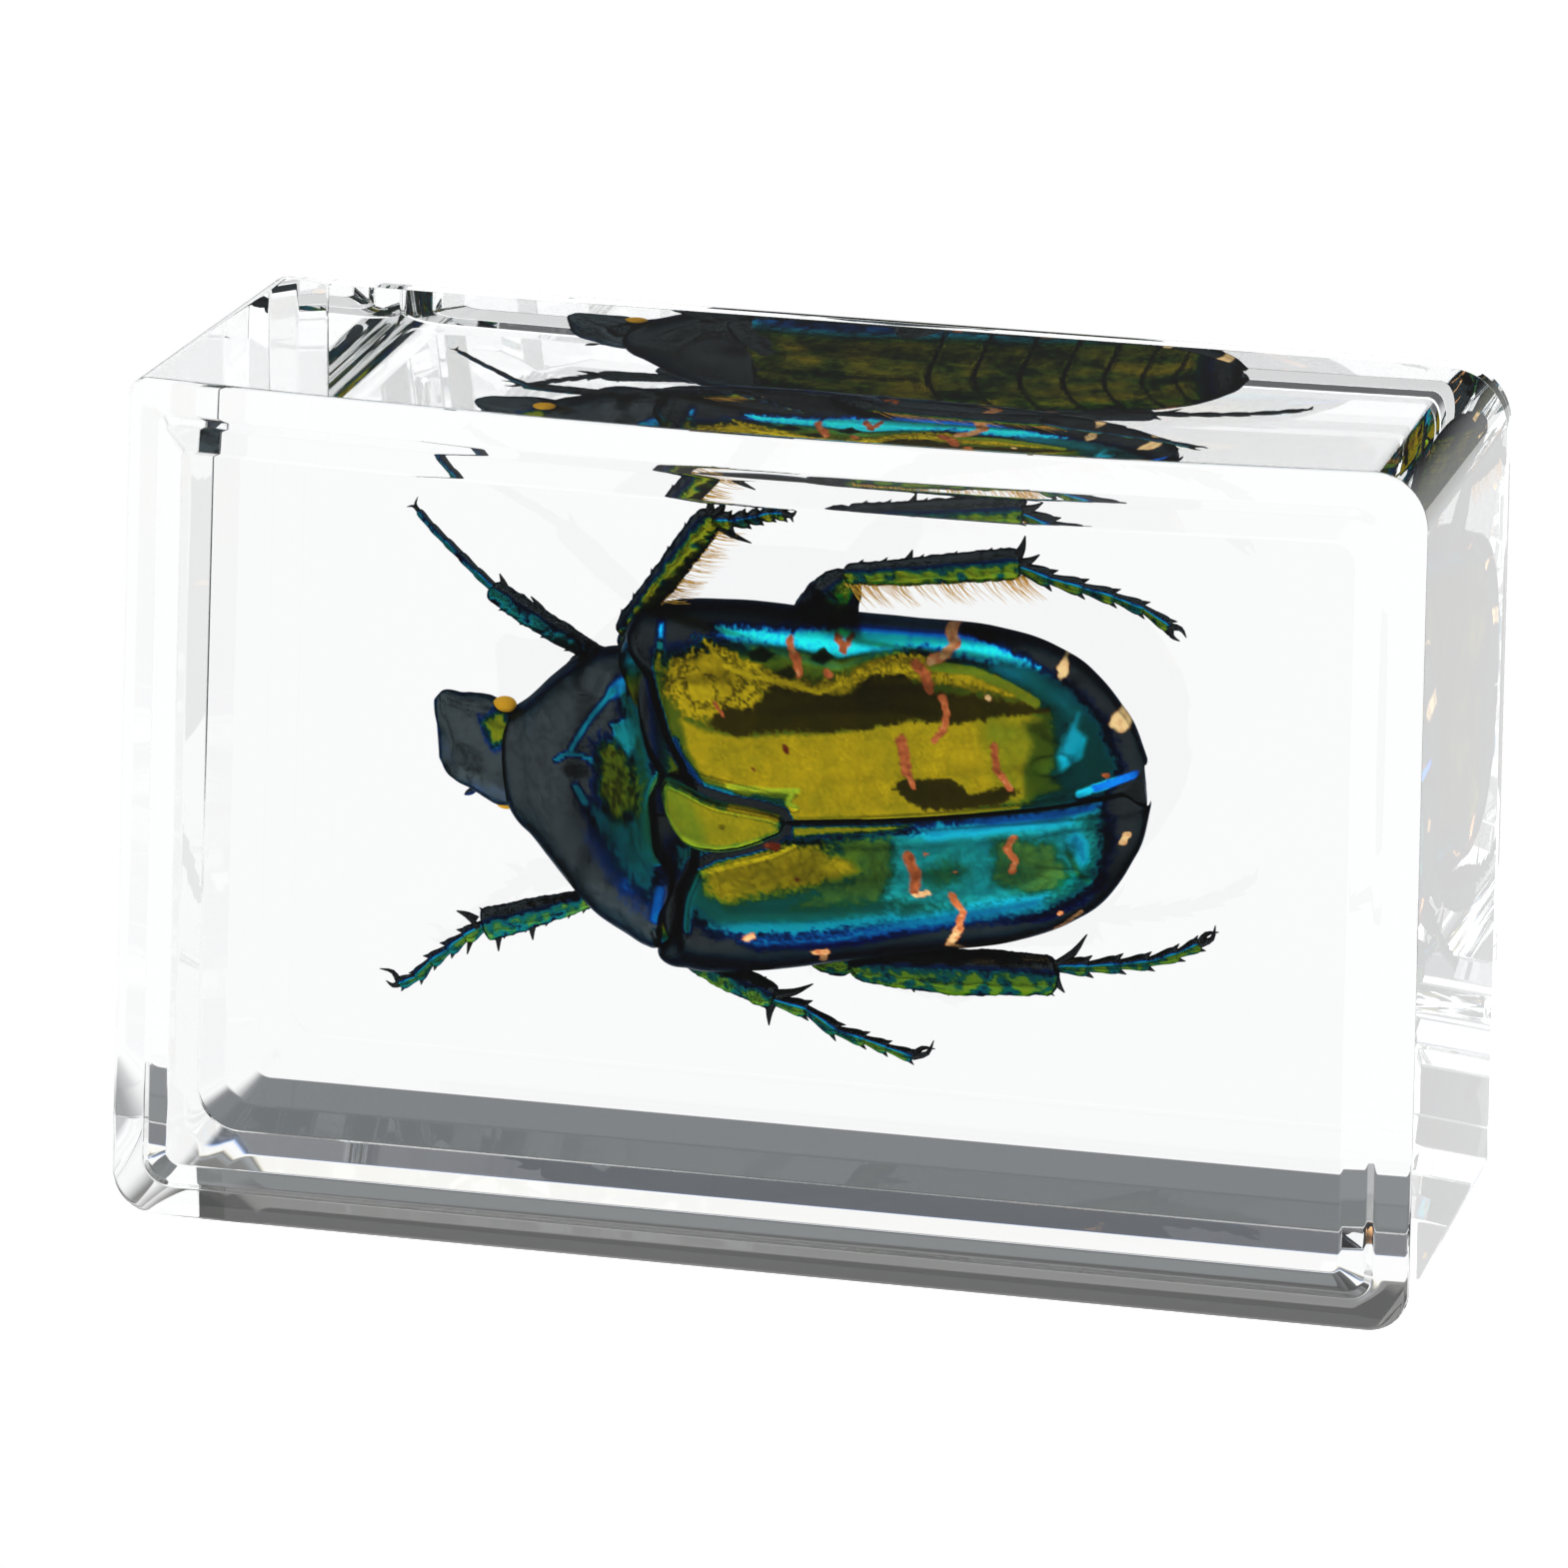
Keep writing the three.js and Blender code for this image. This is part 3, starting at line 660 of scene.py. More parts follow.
def block_ring(y, inset, sag, height):
    """The block's outline at one depth, drawn in by inset all round."""
    half_length = BLOCK_LENGTH / 2
    corners = [("top_right", 1, 1, 0), ("top_left", -1, 1, 90),
               ("bottom_left", -1, -1, 180), ("bottom_right", 1, -1, 270)]
    flat = []
    for i, (name, side, up, start) in enumerate(corners):
        radius = corner_radius(name, inset)
        x = side * (half_length - inset - radius)
        z = height / 2 + up * (height / 2 - inset - radius)
        arc = []
        for k in range(CORNER_STEPS + 1):
            angle = math.radians(start + 90 * k / CORNER_STEPS)
            arc.append((x + radius * math.cos(angle), z + radius * math.sin(angle)))
        # By turns, a corner leads from an end to a long side and from a long side to an end.
        on_end = (0.0, -up * CORNER_GUARD)
        on_long_side = (-side * CORNER_GUARD, 0.0)
        from_end = i % 2 == 0
        before, after = (on_end, on_long_side) if from_end else (on_long_side, on_end)
        flat.append((arc[0][0] + before[0], arc[0][1] + before[1]))
        flat += arc
        flat.append((arc[-1][0] + after[0], arc[-1][1] + after[1]))
        if from_end:
            reach = 2 * (half_length - inset) - radius - corner_radius(corners[i + 1][0], inset)
            for k in range(1, EDGE_STEPS):
                flat.append((x - side * reach * k / EDGE_STEPS, z + up * radius))
    ring = []
    for x, z in flat:
        widened = x * (1 + BLOCK_TAPER * (1 - 2 * z / height))
        dip = sag * (1 - (x / half_length) ** 2) if z > height / 2 else 0.0
        ring.append((widened, y, z - dip))
    return ring


def resin_block(settings):
    """The clear casting, as rings from the flat front face round to the flat back face."""
    height = settings.height / MM
    half = settings.thickness / MM / 2
    rings = []
    for inset, depth in reversed(bevel_steps(FRONT_BEVEL, FRONT_EDGE_ROUND)):
        y = half - FRONT_BEVEL[-1][1] + depth
        rings.append(block_ring(-y, inset, FRONT_TOP_SAG, height))
    for inset, depth in bevel_steps(BACK_BEVEL, BACK_EDGE_ROUND):
        y = half - BACK_BEVEL[-1][1] + depth
        rings.append(block_ring(y, inset, 0.0, height))
    skin = Skin().add(np.array(rings), tube_faces(len(rings), len(rings[0])))
    return skin.make("resin_casting", resin_material(settings), smooth_angle=SMOOTH_EDGE_ANGLE)


class SPECIMEN_OT_resin(bpy.types.Operator):
    """Cast the clear block in one piece, in place of its two halves"""
    bl_idname = "specimen.resin"
    bl_label = "Resin block"

    def execute(self, context):
        block = resin_block(context.scene.specimen_resin)
        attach(block, "root")
        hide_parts("resin_front", "resin_back")
        return {"FINISHED"}


# ---- The beetle's pieces ----

# In the tables, hue is a place on the ramp of shell hues and light is the painted brightness of the metal
# there, which stands in for its reflections and highlights.
DARK_HUE, DARK_LIGHT = 0.06, 0.9  # the blue-black of the shell outside its sheen
CASE_GROUND_HUE, CASE_GROUND_LIGHT = 0.08, 0.7
INSIDE_HUE = INSIDE_LIGHT = 0.1  # of the hidden side of a thin plate

# Sizes of the noise in the paint: two along its ragged edges, one within it, one from zone to zone.
COARSE_RAG, FINE_RAG, GRAIN_SIZE, TONE_SIZE = 0.34, 0.13, 0.09, 1.1

CASE_ROWS, CASE_COLUMNS = 290, 150
CASE_THICKNESS = 0.28
FRONT_DROP, SUTURE_GROOVE, CASE_UNEVENNESS = 0.55, 0.1, 0.012
SUTURE_GAP, REAR_GAP = 0.03, 0.72  # how far a case's inner edge is from the suture, and more at the rear
CASE_FROM, CASE_TO = -0.85, 17.08
CASE_UNDERCUT = -26.0  # how far round below its widest level a wing case reaches, in degrees

# Paint on a surface: hue, light, softness and raggedness of the edge, and outline in (along, across).
UPPER_CASE_PAINT = [
    ("olive ground", 0.78, 0.42, 0.5, 0.15,
     [(0.8, 5.4), (3.5, 5.9), (8.0, 5.7), (12.0, 5.0), (14.4, 3.9), (15.2, 2.4), (14.6, 0.0),
      (0.8, 0.0)]),
    ("dark rear", 0.6, 0.16, 0.3, 0.15,
     [(13.4, 4.8), (14.9, 3.9), (15.9, 2.6), (16.3, 1.0), (15.8, 0.1), (13.5, 0.2), (13.8, 2.2),
      (13.7, 3.6)]),
    ("teal behind the stripe", 0.56, 0.4, 0.3, 0.12,
     [(12.6, 5.2), (13.6, 4.7), (14.8, 3.7), (15.2, 3.0), (14.8, 3.0), (13.6, 4.1), (12.4, 4.7)]),
    # Painted reflection: the gold disc is bright studio light mirrored in the metal of the back.
    ("painted gold reflection on the disc", 0.905, 1.0, 0.12, 0.06,
     [(1.8, 3.6), (2.7, 3.2), (3.7, 3.0), (7.4, 3.1), (9.0, 3.4), (11.6, 3.3), (13.2, 3.3), (14.1, 3.1),
      (13.7, 2.2), (13.3, 1.4), (13.2, 0.5), (10.0, 0.06), (5.3, 0.06), (5.3, 0.6), (5.7, 1.2),
      (3.7, 1.2), (2.3, 1.8), (2.0, 2.6)]),
    ("green end of the disc", 0.83, 0.95, 0.5, 0.1,
     [(11.9, 3.3), (14.1, 3.1), (13.7, 2.2), (13.3, 1.4), (13.2, 0.5), (12.6, 0.4), (12.2, 1.6)]),
    ("dark olive by the hump", 0.77, 0.3, 0.2, 0.1,
     [(13.4, 3.0), (14.2, 3.2), (14.3, 2.2), (14.2, 1.2), (14.5, 0.6), (13.3, 0.5), (13.3, 1.5),
      (13.6, 2.2)]),
    ("gold shoulder patch", 0.93, 0.85, 0.12, 0.26,
     [(1.5, 5.3), (1.9, 5.6), (3.1, 5.65), (3.9, 5.3), (4.2, 4.7), (4.8, 4.4), (4.6, 3.8), (3.8, 3.6),
      (2.7, 3.5), (2.0, 3.7), (1.4, 4.4)]),
    ("gold fringe", 0.95, 0.85, 0.1, 0.16,
     [(2.3, 6.0), (3.3, 5.8), (4.2, 5.3), (5.0, 5.0), (5.8, 4.8), (6.8, 4.7), (7.5, 4.8), (8.4, 5.3),
      (9.0, 5.35), (10.0, 5.3), (11.1, 5.0), (12.5, 4.5), (13.8, 3.7), (12.8, 4.0), (11.1, 4.4),
      (10.0, 4.6), (8.4, 4.7), (7.4, 4.2), (5.6, 4.2), (4.3, 4.6), (3.2, 5.4)]),
    # Painted reflection: the two ragged dark bands are dark parts of the studio mirrored in the metal.
    ("ragged painted dark reflection", 0.88, 0.07, 0.05, 0.14,
     [(2.7, 3.5), (3.4, 4.0), (4.2, 3.9), (5.0, 4.6), (6.0, 4.45), (7.5, 4.3), (8.4, 4.85), (9.4, 4.75),
      (10.6, 4.2), (12.3, 3.95), (14.4, 3.3), (12.7, 3.3), (11.1, 3.2), (9.8, 3.4), (8.3, 3.2),
      (6.8, 3.1), (5.2, 3.2), (3.8, 3.0), (3.0, 3.3)]),
    ("ragged painted dark reflection by the suture", 0.88, 0.07, 0.05, 0.12,
     [(8.9, 1.1), (9.3, 1.5), (10.0, 1.4), (10.9, 1.3), (11.5, 0.75), (12.6, 0.95), (13.1, 0.7),
      (12.5, 0.35), (11.0, 0.25), (9.9, 0.35), (9.3, 0.7)]),
    # Painted highlight: the bright stripe on the flank and its green edge.
    ("painted highlight stripe on the flank", 0.48, 1.9, 0.12, 0.06,
     [(2.8, 6.28), (4.1, 6.2), (5.2, 6.05), (6.7, 6.0), (8.2, 6.02), (10.0, 5.9), (11.1, 5.75),
      (12.3, 5.4), (13.9, 4.6), (12.7, 4.9), (11.6, 5.1), (10.0, 5.45), (8.3, 5.45), (7.2, 5.3),
      (5.5, 5.7), (4.2, 5.85), (3.1, 6.05)]),
    ("green edge of the stripe", 0.7, 1.3, 0.08, 0.06,
     [(4.0, 5.85), (5.4, 5.6), (6.6, 5.35), (7.3, 5.15), (8.3, 5.35), (9.6, 5.4), (8.4, 5.25),
      (7.2, 5.0), (6.4, 5.15), (5.3, 5.45), (4.2, 5.65)]),
    ("first dark island", 0.7, 0.04, 0.04, 0.03,
     [(4.1, 5.55), (4.6, 5.75), (5.1, 5.5), (4.8, 5.3), (4.3, 5.35)]),
    ("second dark island", 0.7, 0.04, 0.04, 0.03,
     [(6.2, 5.35), (6.7, 5.6), (7.1, 5.35), (6.7, 5.15)]),
    ("third dark island", 0.8, 0.05, 0.04, 0.03,
     [(5.0, 5.0), (5.6, 5.2), (6.1, 4.9), (5.6, 4.8)]),
    # Painted highlight on the hump.
    ("painted teal highlight on the hump", 0.52, 0.8, 0.14, 0.05,
     [(14.25, 1.9), (14.5, 2.35), (14.9, 2.8), (15.15, 3.05), (15.0, 2.6), (15.35, 2.2), (15.15, 1.6),
      (14.5, 1.3)]),
    # Painted highlight: the blue, green and gold spots on the shoulder hump.
    ("blue of the painted shoulder highlight", 0.44, 1.6, 0.12, 0.03,
     [(0.95, 6.35), (1.2, 6.35), (1.25, 5.95), (1.0, 5.9)]),
    ("green of the painted shoulder highlight", 0.66, 1.2, 0.12, 0.03,
     [(1.0, 5.9), (1.25, 5.9), (1.25, 5.6), (1.0, 5.6)]),
    ("gold of the painted shoulder highlight", 0.86, 0.8, 0.12, 0.03,
     [(1.0, 5.6), (1.25, 5.6), (1.2, 5.0), (1.0, 5.0)]),
]
# Dark veins in a patch of paint: depth, grain, thickness of the veins, and outline.
UPPER_CASE_MOTTLES = [
    ("shoulder patch", 0.85, 0.85, 0.2,
     [(1.3, 5.4), (2.4, 5.9), (3.6, 5.7), (4.6, 5.0), (4.9, 4.3), (4.4, 3.8), (3.4, 3.9),
      (2.2, 3.8), (1.4, 4.3)]),
    ("fringe", 0.7, 0.3, 0.3,
     [(4.6, 5.3), (6.5, 4.9), (7.8, 5.1), (9.2, 5.4), (11.2, 5.0), (11.1, 4.3), (9.4, 4.5),
      (8.2, 4.5), (6.4, 4.3), (4.4, 4.6)]),
    ("disc", 0.16, 1.0, 0.3,
     [(2.4, 3.0), (7.0, 3.0), (13.8, 3.2), (13.3, 0.6), (5.4, 0.3), (5.4, 1.2), (3.0, 1.4)]),
    ("stripe", 0.25, 0.35, 0.25,
     [(3.4, 6.3), (7.4, 6.1), (7.2, 5.3), (4.0, 5.7)]),
]
LOWER_CASE_MOTTLES = [
    ("gold front", 0.35, 0.45, 0.35,
     [(2.1, -1.7), (5.0, -0.6), (7.7, -1.5), (5.8, -2.6), (2.7, -3.1)]),
    ("teal rear", 0.35, 0.6, 0.4,
     [(7.6, -0.9), (14.9, -0.6), (14.6, -3.2), (8.2, -3.2)]),
]
LOWER_CASE_PAINT = [
    ("dark green ground", 0.64, 0.36, 0.5, 0.2,
     [(0.9, -1.0), (15.6, 0.0), (15.8, -1.6), (15.2, -3.2), (13.6, -4.0), (9.8, -4.0),
      (2.2, -4.1), (1.2, -3.0)]),
    ("gold front", 0.89, 0.9, 0.3, 0.2,
     [(2.1, -1.7), (3.8, -0.95), (5.0, -0.65), (6.3, -0.7), (6.5, -1.15), (7.4, -1.35), (7.7, -1.8),
      (6.8, -2.1), (5.8, -2.4), (3.7, -2.8), (2.7, -3.0), (2.2, -2.6)]),
    ("green beside the suture", 0.86, 0.95, 0.1, 0.04,
     [(5.3, -0.12), (9.5, -0.14), (9.0, -0.32), (7.5, -0.42), (5.4, -0.52)]),
    ("dim green past the gold", 0.72, 0.55, 0.25, 0.2,
     [(6.6, -0.6), (8.7, -0.5), (8.8, -2.2), (8.0, -3.0), (5.0, -3.2), (6.0, -2.5), (7.7, -1.9),
      (7.0, -1.2)]),
    ("teal rear", 0.585, 1.05, 0.25, 0.25,
     [(8.8, -0.8), (10.0, -0.4), (11.4, -0.35), (13.6, -0.4), (15.1, -0.4), (15.4, -1.5), (14.9, -2.6),
      (13.8, -3.3), (12.1, -3.4), (9.9, -3.3), (8.2, -2.9), (8.6, -2.0)]),
    ("teal along the flank", 0.52, 0.46, 0.25, 0.16,
     [(2.2, -3.9), (3.5, -3.8), (5.5, -3.8), (7.1, -3.6), (8.6, -3.4), (8.6, -3.7),
      (5.4, -4.25), (3.4, -4.35)]),
    ("blue beside the suture", 0.46, 0.5, 0.25, 0.1,
     [(9.6, -0.25), (11.4, -0.22), (14.8, -0.2), (14.6, -0.6), (11.4, -0.7), (10.0, -0.8)]),
    ("deep blue beside the suture", 0.34, 0.55, 0.16, 0.08,
     [(11.2, -0.1), (15.6, -0.1), (15.4, -0.35), (12.0, -0.35)]),
    ("green spot in the teal", 0.68, 0.9, 0.3, 0.2,
     [(9.4, -1.9), (10.8, -1.5), (11.2, -2.2), (9.9, -2.7)]),
    ("dark green rear", 0.71, 0.85, 0.28, 0.15,
     [(12.1, -0.95), (14.0, -1.2), (14.4, -2.4), (14.0, -3.0), (13.1, -3.2), (11.9, -2.5)]),
    ("blue flank", 0.41, 0.36, 0.35, 0.1,
     [(3.0, -4.5), (6.5, -4.3), (9.0, -3.65), (13.6, -3.2), (13.4, -3.7), (9.2, -4.3),
      (6.4, -4.8), (3.6, -4.9)]),
    # Painted highlight on the hump.
    ("painted blue highlight on the hump", 0.44, 0.55, 0.18, 0.05,
     [(14.5, -1.2), (14.8, -1.0), (15.1, -1.4), (15.0, -2.0), (14.75, -2.0)]),
]

# Fine lines of paint: hue, light, half width, softness, and the line in (along, across).
UPPER_CASE_LINES = [
    ("dark suture", 0.7, 0.12, 0.03, 0.04, [(5.1, 0.0), (17.0, 0.0)]),
    ("olive border of the suture", 0.86, 0.7, 0.05, 0.05, [(5.6, 0.16), (10.0, 0.16), (13.0, 0.18)]),
    # Painted highlight along the raised end of the suture.
    ("painted blue highlight at the suture's end", 0.34, 1.9, 0.1, 0.09, [(15.5, 0.46), (16.7, 0.62)]),
    ("teal start of the suture's highlight", 0.47, 1.5, 0.09, 0.09, [(15.0, 0.38), (15.3, 0.42)]),
    # Painted highlight on the lit side of the raised fold, and painted shade along its other side.
    ("painted highlight on the fold by the scutellum", 0.8, 1.9, 0.06, 0.06, [(3.3, 1.35), (4.6, 1.2), (5.7, 1.15)]),
    ("painted highlight at the fold's tip", 0.8, 1.7, 0.06, 0.05, [(5.5, 1.1), (5.3, 0.75), (5.6, 0.55)]),
    ("painted shade beside the fold", 0.66, 0.25, 0.1, 0.06, [(4.2, 0.95), (5.1, 0.75)]),
    # Painted shade where the wing case dips under the pronotum.
    ("painted shade in the gap at the front", 0.06, 0.55, 0.16, 0.1,
     [(0.5, 5.6), (0.7, 5.1), (1.0, 3.9), (1.3, 2.4), (2.0, 1.4), (3.1, 0.88), (4.4, 0.6),
      (5.1, 0.38), (5.2, 0.1)]),
    ("blue lip of the gap", 0.28, 0.4, 0.04, 0.12, [(1.55, 2.9), (1.75, 2.3), (2.35, 1.45)]),
    ("teal lip of the gap", 0.52, 0.5, 0.03, 0.08, [(2.5, 1.35), (3.4, 1.08)]),
    ("gold lower edge of the fringe", 0.97, 0.95, 0.05, 0.04,
     [(3.4, 5.2), (4.3, 4.9), (5.3, 4.75), (6.6, 4.35), (7.3, 4.6)]),
    ("green streak behind the fringe", 0.8, 0.9, 0.1, 0.08,
     [(10.4, 4.95), (11.7, 4.75), (12.9, 4.2), (13.8, 3.6)]),
]
LOWER_CASE_LINES = [
    ("dark suture", 0.7, 0.12, 0.03, 0.04, [(5.1, 0.0), (17.0, 0.0)]),
    ("green streak on the hump", 0.68, 1.1, 0.03, 0.12, [(14.4, -1.6), (14.6, -2.3), (15.0, -2.9)]),
    # Painted shade where the wing case dips under the pronotum.
    ("painted shade in the gap at the front", 0.06, 0.55, 0.13, 0.1,
     [(5.2, -0.2), (4.6, -0.68), (3.9, -0.92), (2.6, -1.2), (1.6, -1.7), (1.2, -2.4),
      (0.8, -3.4), (0.5, -4.9)]),
    ("teal lip of the gap", 0.6, 0.4, 0.06, 0.2, [(1.8, -2.3), (1.4, -3.2), (1.3, -4.0)]),
]

# Chips and scrapes that bare the pale layer: hue of the mark, half width, and the line.
UPPER_CASE_MARKS = [
    (0.45, 0.14, [(5.55, 5.8), (5.65, 5.55), (5.85, 5.3), (5.9, 4.95)]),
    (0.4, 0.12, [(7.15, 5.8), (7.4, 5.5), (7.6, 5.8)]),
    (0.35, 0.13, [(6.85, 4.95), (6.95, 4.85)]),
    (0.7, 0.15, [(10.75, 5.8), (11.1, 5.45), (10.7, 5.2), (10.3, 5.1)]),
    (0.35, 0.16, [(9.8, 5.05), (10.15, 4.75), (10.3, 4.3)]),
    (0.45, 0.13, [(10.7, 4.05), (10.85, 3.6), (10.75, 3.1), (10.4, 2.7)]),
    (0.3, 0.2, [(9.3, 2.75), (9.4, 2.2), (9.4, 1.7)]),
    (0.4, 0.12, [(9.4, 1.7), (9.6, 1.15)]),
    (0.3, 0.14, [(12.35, 2.35), (12.4, 1.5)]),
    (0.5, 0.12, [(12.4, 1.5), (12.8, 0.85)]),
    (1.0, 0.16, [(14.6, 4.45), (14.65, 4.3)]),
    (0.95, 0.26, [(16.3, 2.5), (16.5, 2.35)]),
    (0.4, 0.07, [(15.8, 0.85), (15.9, 0.8)]),
    (0.95, 0.09, [(12.2, 3.95), (12.25, 3.9)]),
    (0.3, 0.07, [(3.0, 4.1), (3.3, 3.7)]),
    (0.0, 0.1, [(5.35, 2.65), (5.45, 2.55)]),
    (0.0, 0.07, [(4.2, 1.95), (4.25, 1.85)]),
]
LOWER_CASE_MARKS = [
    (0.0, 0.13, [(4.45, -0.8), (4.8, -0.85)]),
    (0.0, 0.06, [(5.3, -2.1), (5.35, -2.1)]),
    (0.45, 0.13, [(12.75, -0.95), (12.5, -1.35), (12.75, -1.8), (12.6, -2.1)]),
    (0.3, 0.2, [(9.2, -1.35), (9.4, -2.0), (9.3, -2.6)]),
    (0.9, 0.12, [(9.3, -2.8), (9.7, -2.75)]),
    (0.55, 0.12, [(10.5, -2.9), (10.8, -3.6), (10.55, -4.3)]),
    (0.75, 0.16, [(10.55, -4.3), (10.1, -5.1)]),
    (0.8, 0.12, [(10.1, -5.1), (10.6, -5.5), (11.2, -5.5)]),
    (0.75, 0.1, [(12.3, -5.45), (13.4, -5.1), (14.6, -4.2)]),
    (0.9, 0.14, [(16.2, -1.7), (16.35, -1.5)]),
    (0.6, 0.1, [(13.9, -4.1), (13.95, -4.05)]),
    (0.7, 0.14, [(3.3, -4.45), (3.5, -4.35)]),
    (0.7, 0.13, [(5.5, -5.2), (5.9, -5.15), (5.7, -5.6)]),
    (0.4, 0.07, [(9.8, -1.3), (9.85, -1.3)]),
    (0.4, 0.07, [(10.7, -2.0), (10.75, -2.0)]),
]

# Raised or sunken lines on the wing cases: height, half width, and the line.
CASE_RIDGES = [
    (0.08, 0.3, [(8.0, 0.32), (12.0, 0.36), (16.8, 0.55)]),
    (-0.1, 0.55, [(7.0, 1.15), (11.0, 1.15), (14.5, 1.2)]),
    (0.05, 0.35, [(3.0, 3.5), (9.0, 3.55), (13.5, 2.6)]),
    (0.1, 0.13, [(1.9, 1.75), (3.2, 1.4), (4.6, 1.05), (5.5, 0.6)]),
]
CASE_HUMPS = [  # height, along, across, and half widths along and across
    (0.5, 14.45, 2.05, 0.75, 0.7),
    (0.28, 1.7, 4.6, 1.2, 0.9),
    (-0.16, 15.4, 1.6, 0.5, 0.9),
]
CASE_FRONT_EDGE = [
    (0.0, 1.7), (1.7, 1.6), (3.0, 1.0), (4.1, 0.75), (5.0, 0.45), (5.6, -0.2), (6.4, -0.85),
]
PRONOTUM_HIND_EDGE = [
    (-5.2, 0.1), (-3.7, 0.3), (-2.7, 0.85), (-2.0, 0.9), (-1.3, 0.5), (0.0, 0.42), (0.8, 0.5), (1.4, 0.9),
    (2.4, 0.55), (3.5, 0.3), (4.8, 0.25),
]


def section_curves(stations):
    """Smooth width, rise, sink and shift along the body."""
    columns = list(zip(*stations))
    return [curve_through(columns[0], column) for column in columns[1:]]


def section_points(width, rise, sink, shift, angles):
    """Across and rise of points round one section, at angles in degrees from the upper side."""
    c, s = np.cos(np.radians(angles)), np.sin(np.radians(angles))
    power = 2 / ROUNDNESS
    across = shift + width * np.sign(c) * np.abs(c) ** power
    up = np.where(s > 0, rise, sink) * np.sign(s) * np.abs(s) ** power
    return across, up


def even_steps(points, count):
    """The same bent line with its points spread evenly along it."""
    steps = np.linalg.norm(np.diff(points, axis=0), axis=1)
    run = np.concatenate([[0.0], np.cumsum(steps)])
    wanted = np.linspace(0, run[-1], count)
    return np.stack([np.interp(wanted, run, column) for column in points.T], axis=1)


def thickened(flat):
    """The (along, across) points with a third coordinate of zero, as noise wants them."""
    return np.concatenate([flat, np.zeros(flat.shape[:-1] + (1,))], axis=-1)


def laid_over(hue, light, new_hue, new_light, share):
    """Mixes one paint over another; between far hues the mix passes through darkness."""
    far = smoothstep(0.22, 0.4, np.abs(new_hue - hue))
    dip = 1 - 0.97 * far * np.clip(4.4 * share * (1 - share), 0, 1)
    return hue + (new_hue - hue) * share, (light + (new_light - light) * share) * dip


def painted(flat, ground_hue, ground_light, patches, lines, seed, mottles=()):
    """Hue and light at each (along, across) point, from patches and lines laid over a ground."""
    hue = np.full(flat.shape[:-1], ground_hue)
    light = np.full(flat.shape[:-1], ground_light)
    deep = thickened(flat)
    ragged = 0.6 * wander(deep, COARSE_RAG, seed) + 0.9 * wander(deep, FINE_RAG, seed + 1)
    for _, patch_hue, patch_light, softness, raggedness, outline in patches:
        inside = depth_in_outline(flat, outline) + raggedness * ragged
        share = smoothstep(-softness, softness, inside)
        hue, light = laid_over(hue, light, patch_hue, patch_light, share)
    fine = wander(deep, GRAIN_SIZE, seed + 3)
    for _, depth, size, thickness, outline in mottles:
        vein = 1 - smoothstep(0.0, thickness, np.abs(wander(deep, size, seed + 4) + 0.3 * fine))
        light = light * (1 - depth * vein * smoothstep(-0.1, 0.15, depth_in_outline(flat, outline)))
    for _, line_hue, line_light, half_width, softness, line in lines:
        near = distance_to_line(flat, line) + 0.02 * ragged
        share = 1 - smoothstep(half_width, half_width + softness, near)
        hue, light = laid_over(hue, light, line_hue, line_light, share)
    tone = wander(deep, TONE_SIZE, seed + 2)
    return (hue + 0.026 * tone + 0.012 * ragged + 0.01 * fine,
            light * (1 + 0.12 * tone + 0.1 * ragged + 0.08 * fine))


def marked(flat, marks, seed):
    """How much of each point is bared by a mark, and the mark's hue there."""
    ragged = wander(thickened(flat), 0.16, seed)
    mark = np.zeros(flat.shape[:-1])
    hue = np.zeros(flat.shape[:-1])
    for mark_hue, half_width, line in marks:
        near = distance_to_line(flat, line) + 0.06 * ragged
        share = 1 - smoothstep(half_width * 0.75, half_width * 1.15, near)
        hue = np.where(share > mark, mark_hue + 0.25 * ragged, hue)
        mark = np.maximum(mark, share)
    return mark, np.clip(hue, 0, 1)


def raised(flat):
    """Height of the ridges and humps of a wing case over its plain form."""
    height = np.zeros(flat.shape[:-1])
    for ridge, half_width, line in CASE_RIDGES:
        height += ridge * np.exp(-(distance_to_line(flat, line) / half_width) ** 2)
    for hump, along, across, long, wide in CASE_HUMPS:
        away = ((flat[..., 0] - along) / long) ** 2 + ((flat[..., 1] - across) / wide) ** 2
        height += hump * np.exp(-away)
    return height


def plate(name, outer, inner, material, **values):
    """A thin closed plate between two sheets; the values are the outer sheet's."""
    plain = {"hue": INSIDE_HUE, "light": INSIDE_LIGHT, "mark": 0.0, "mark_hue": 0.0}
    both = {key: np.concatenate([value.reshape(-1), np.full(value.size, plain[key])])
            for key, value in values.items()}
    points = in_block(np.concatenate([outer.reshape(-1, 3), inner.reshape(-1, 3)]))
    return Skin().add(points, shell_faces(*outer.shape[:2]), **both).make(name, material)


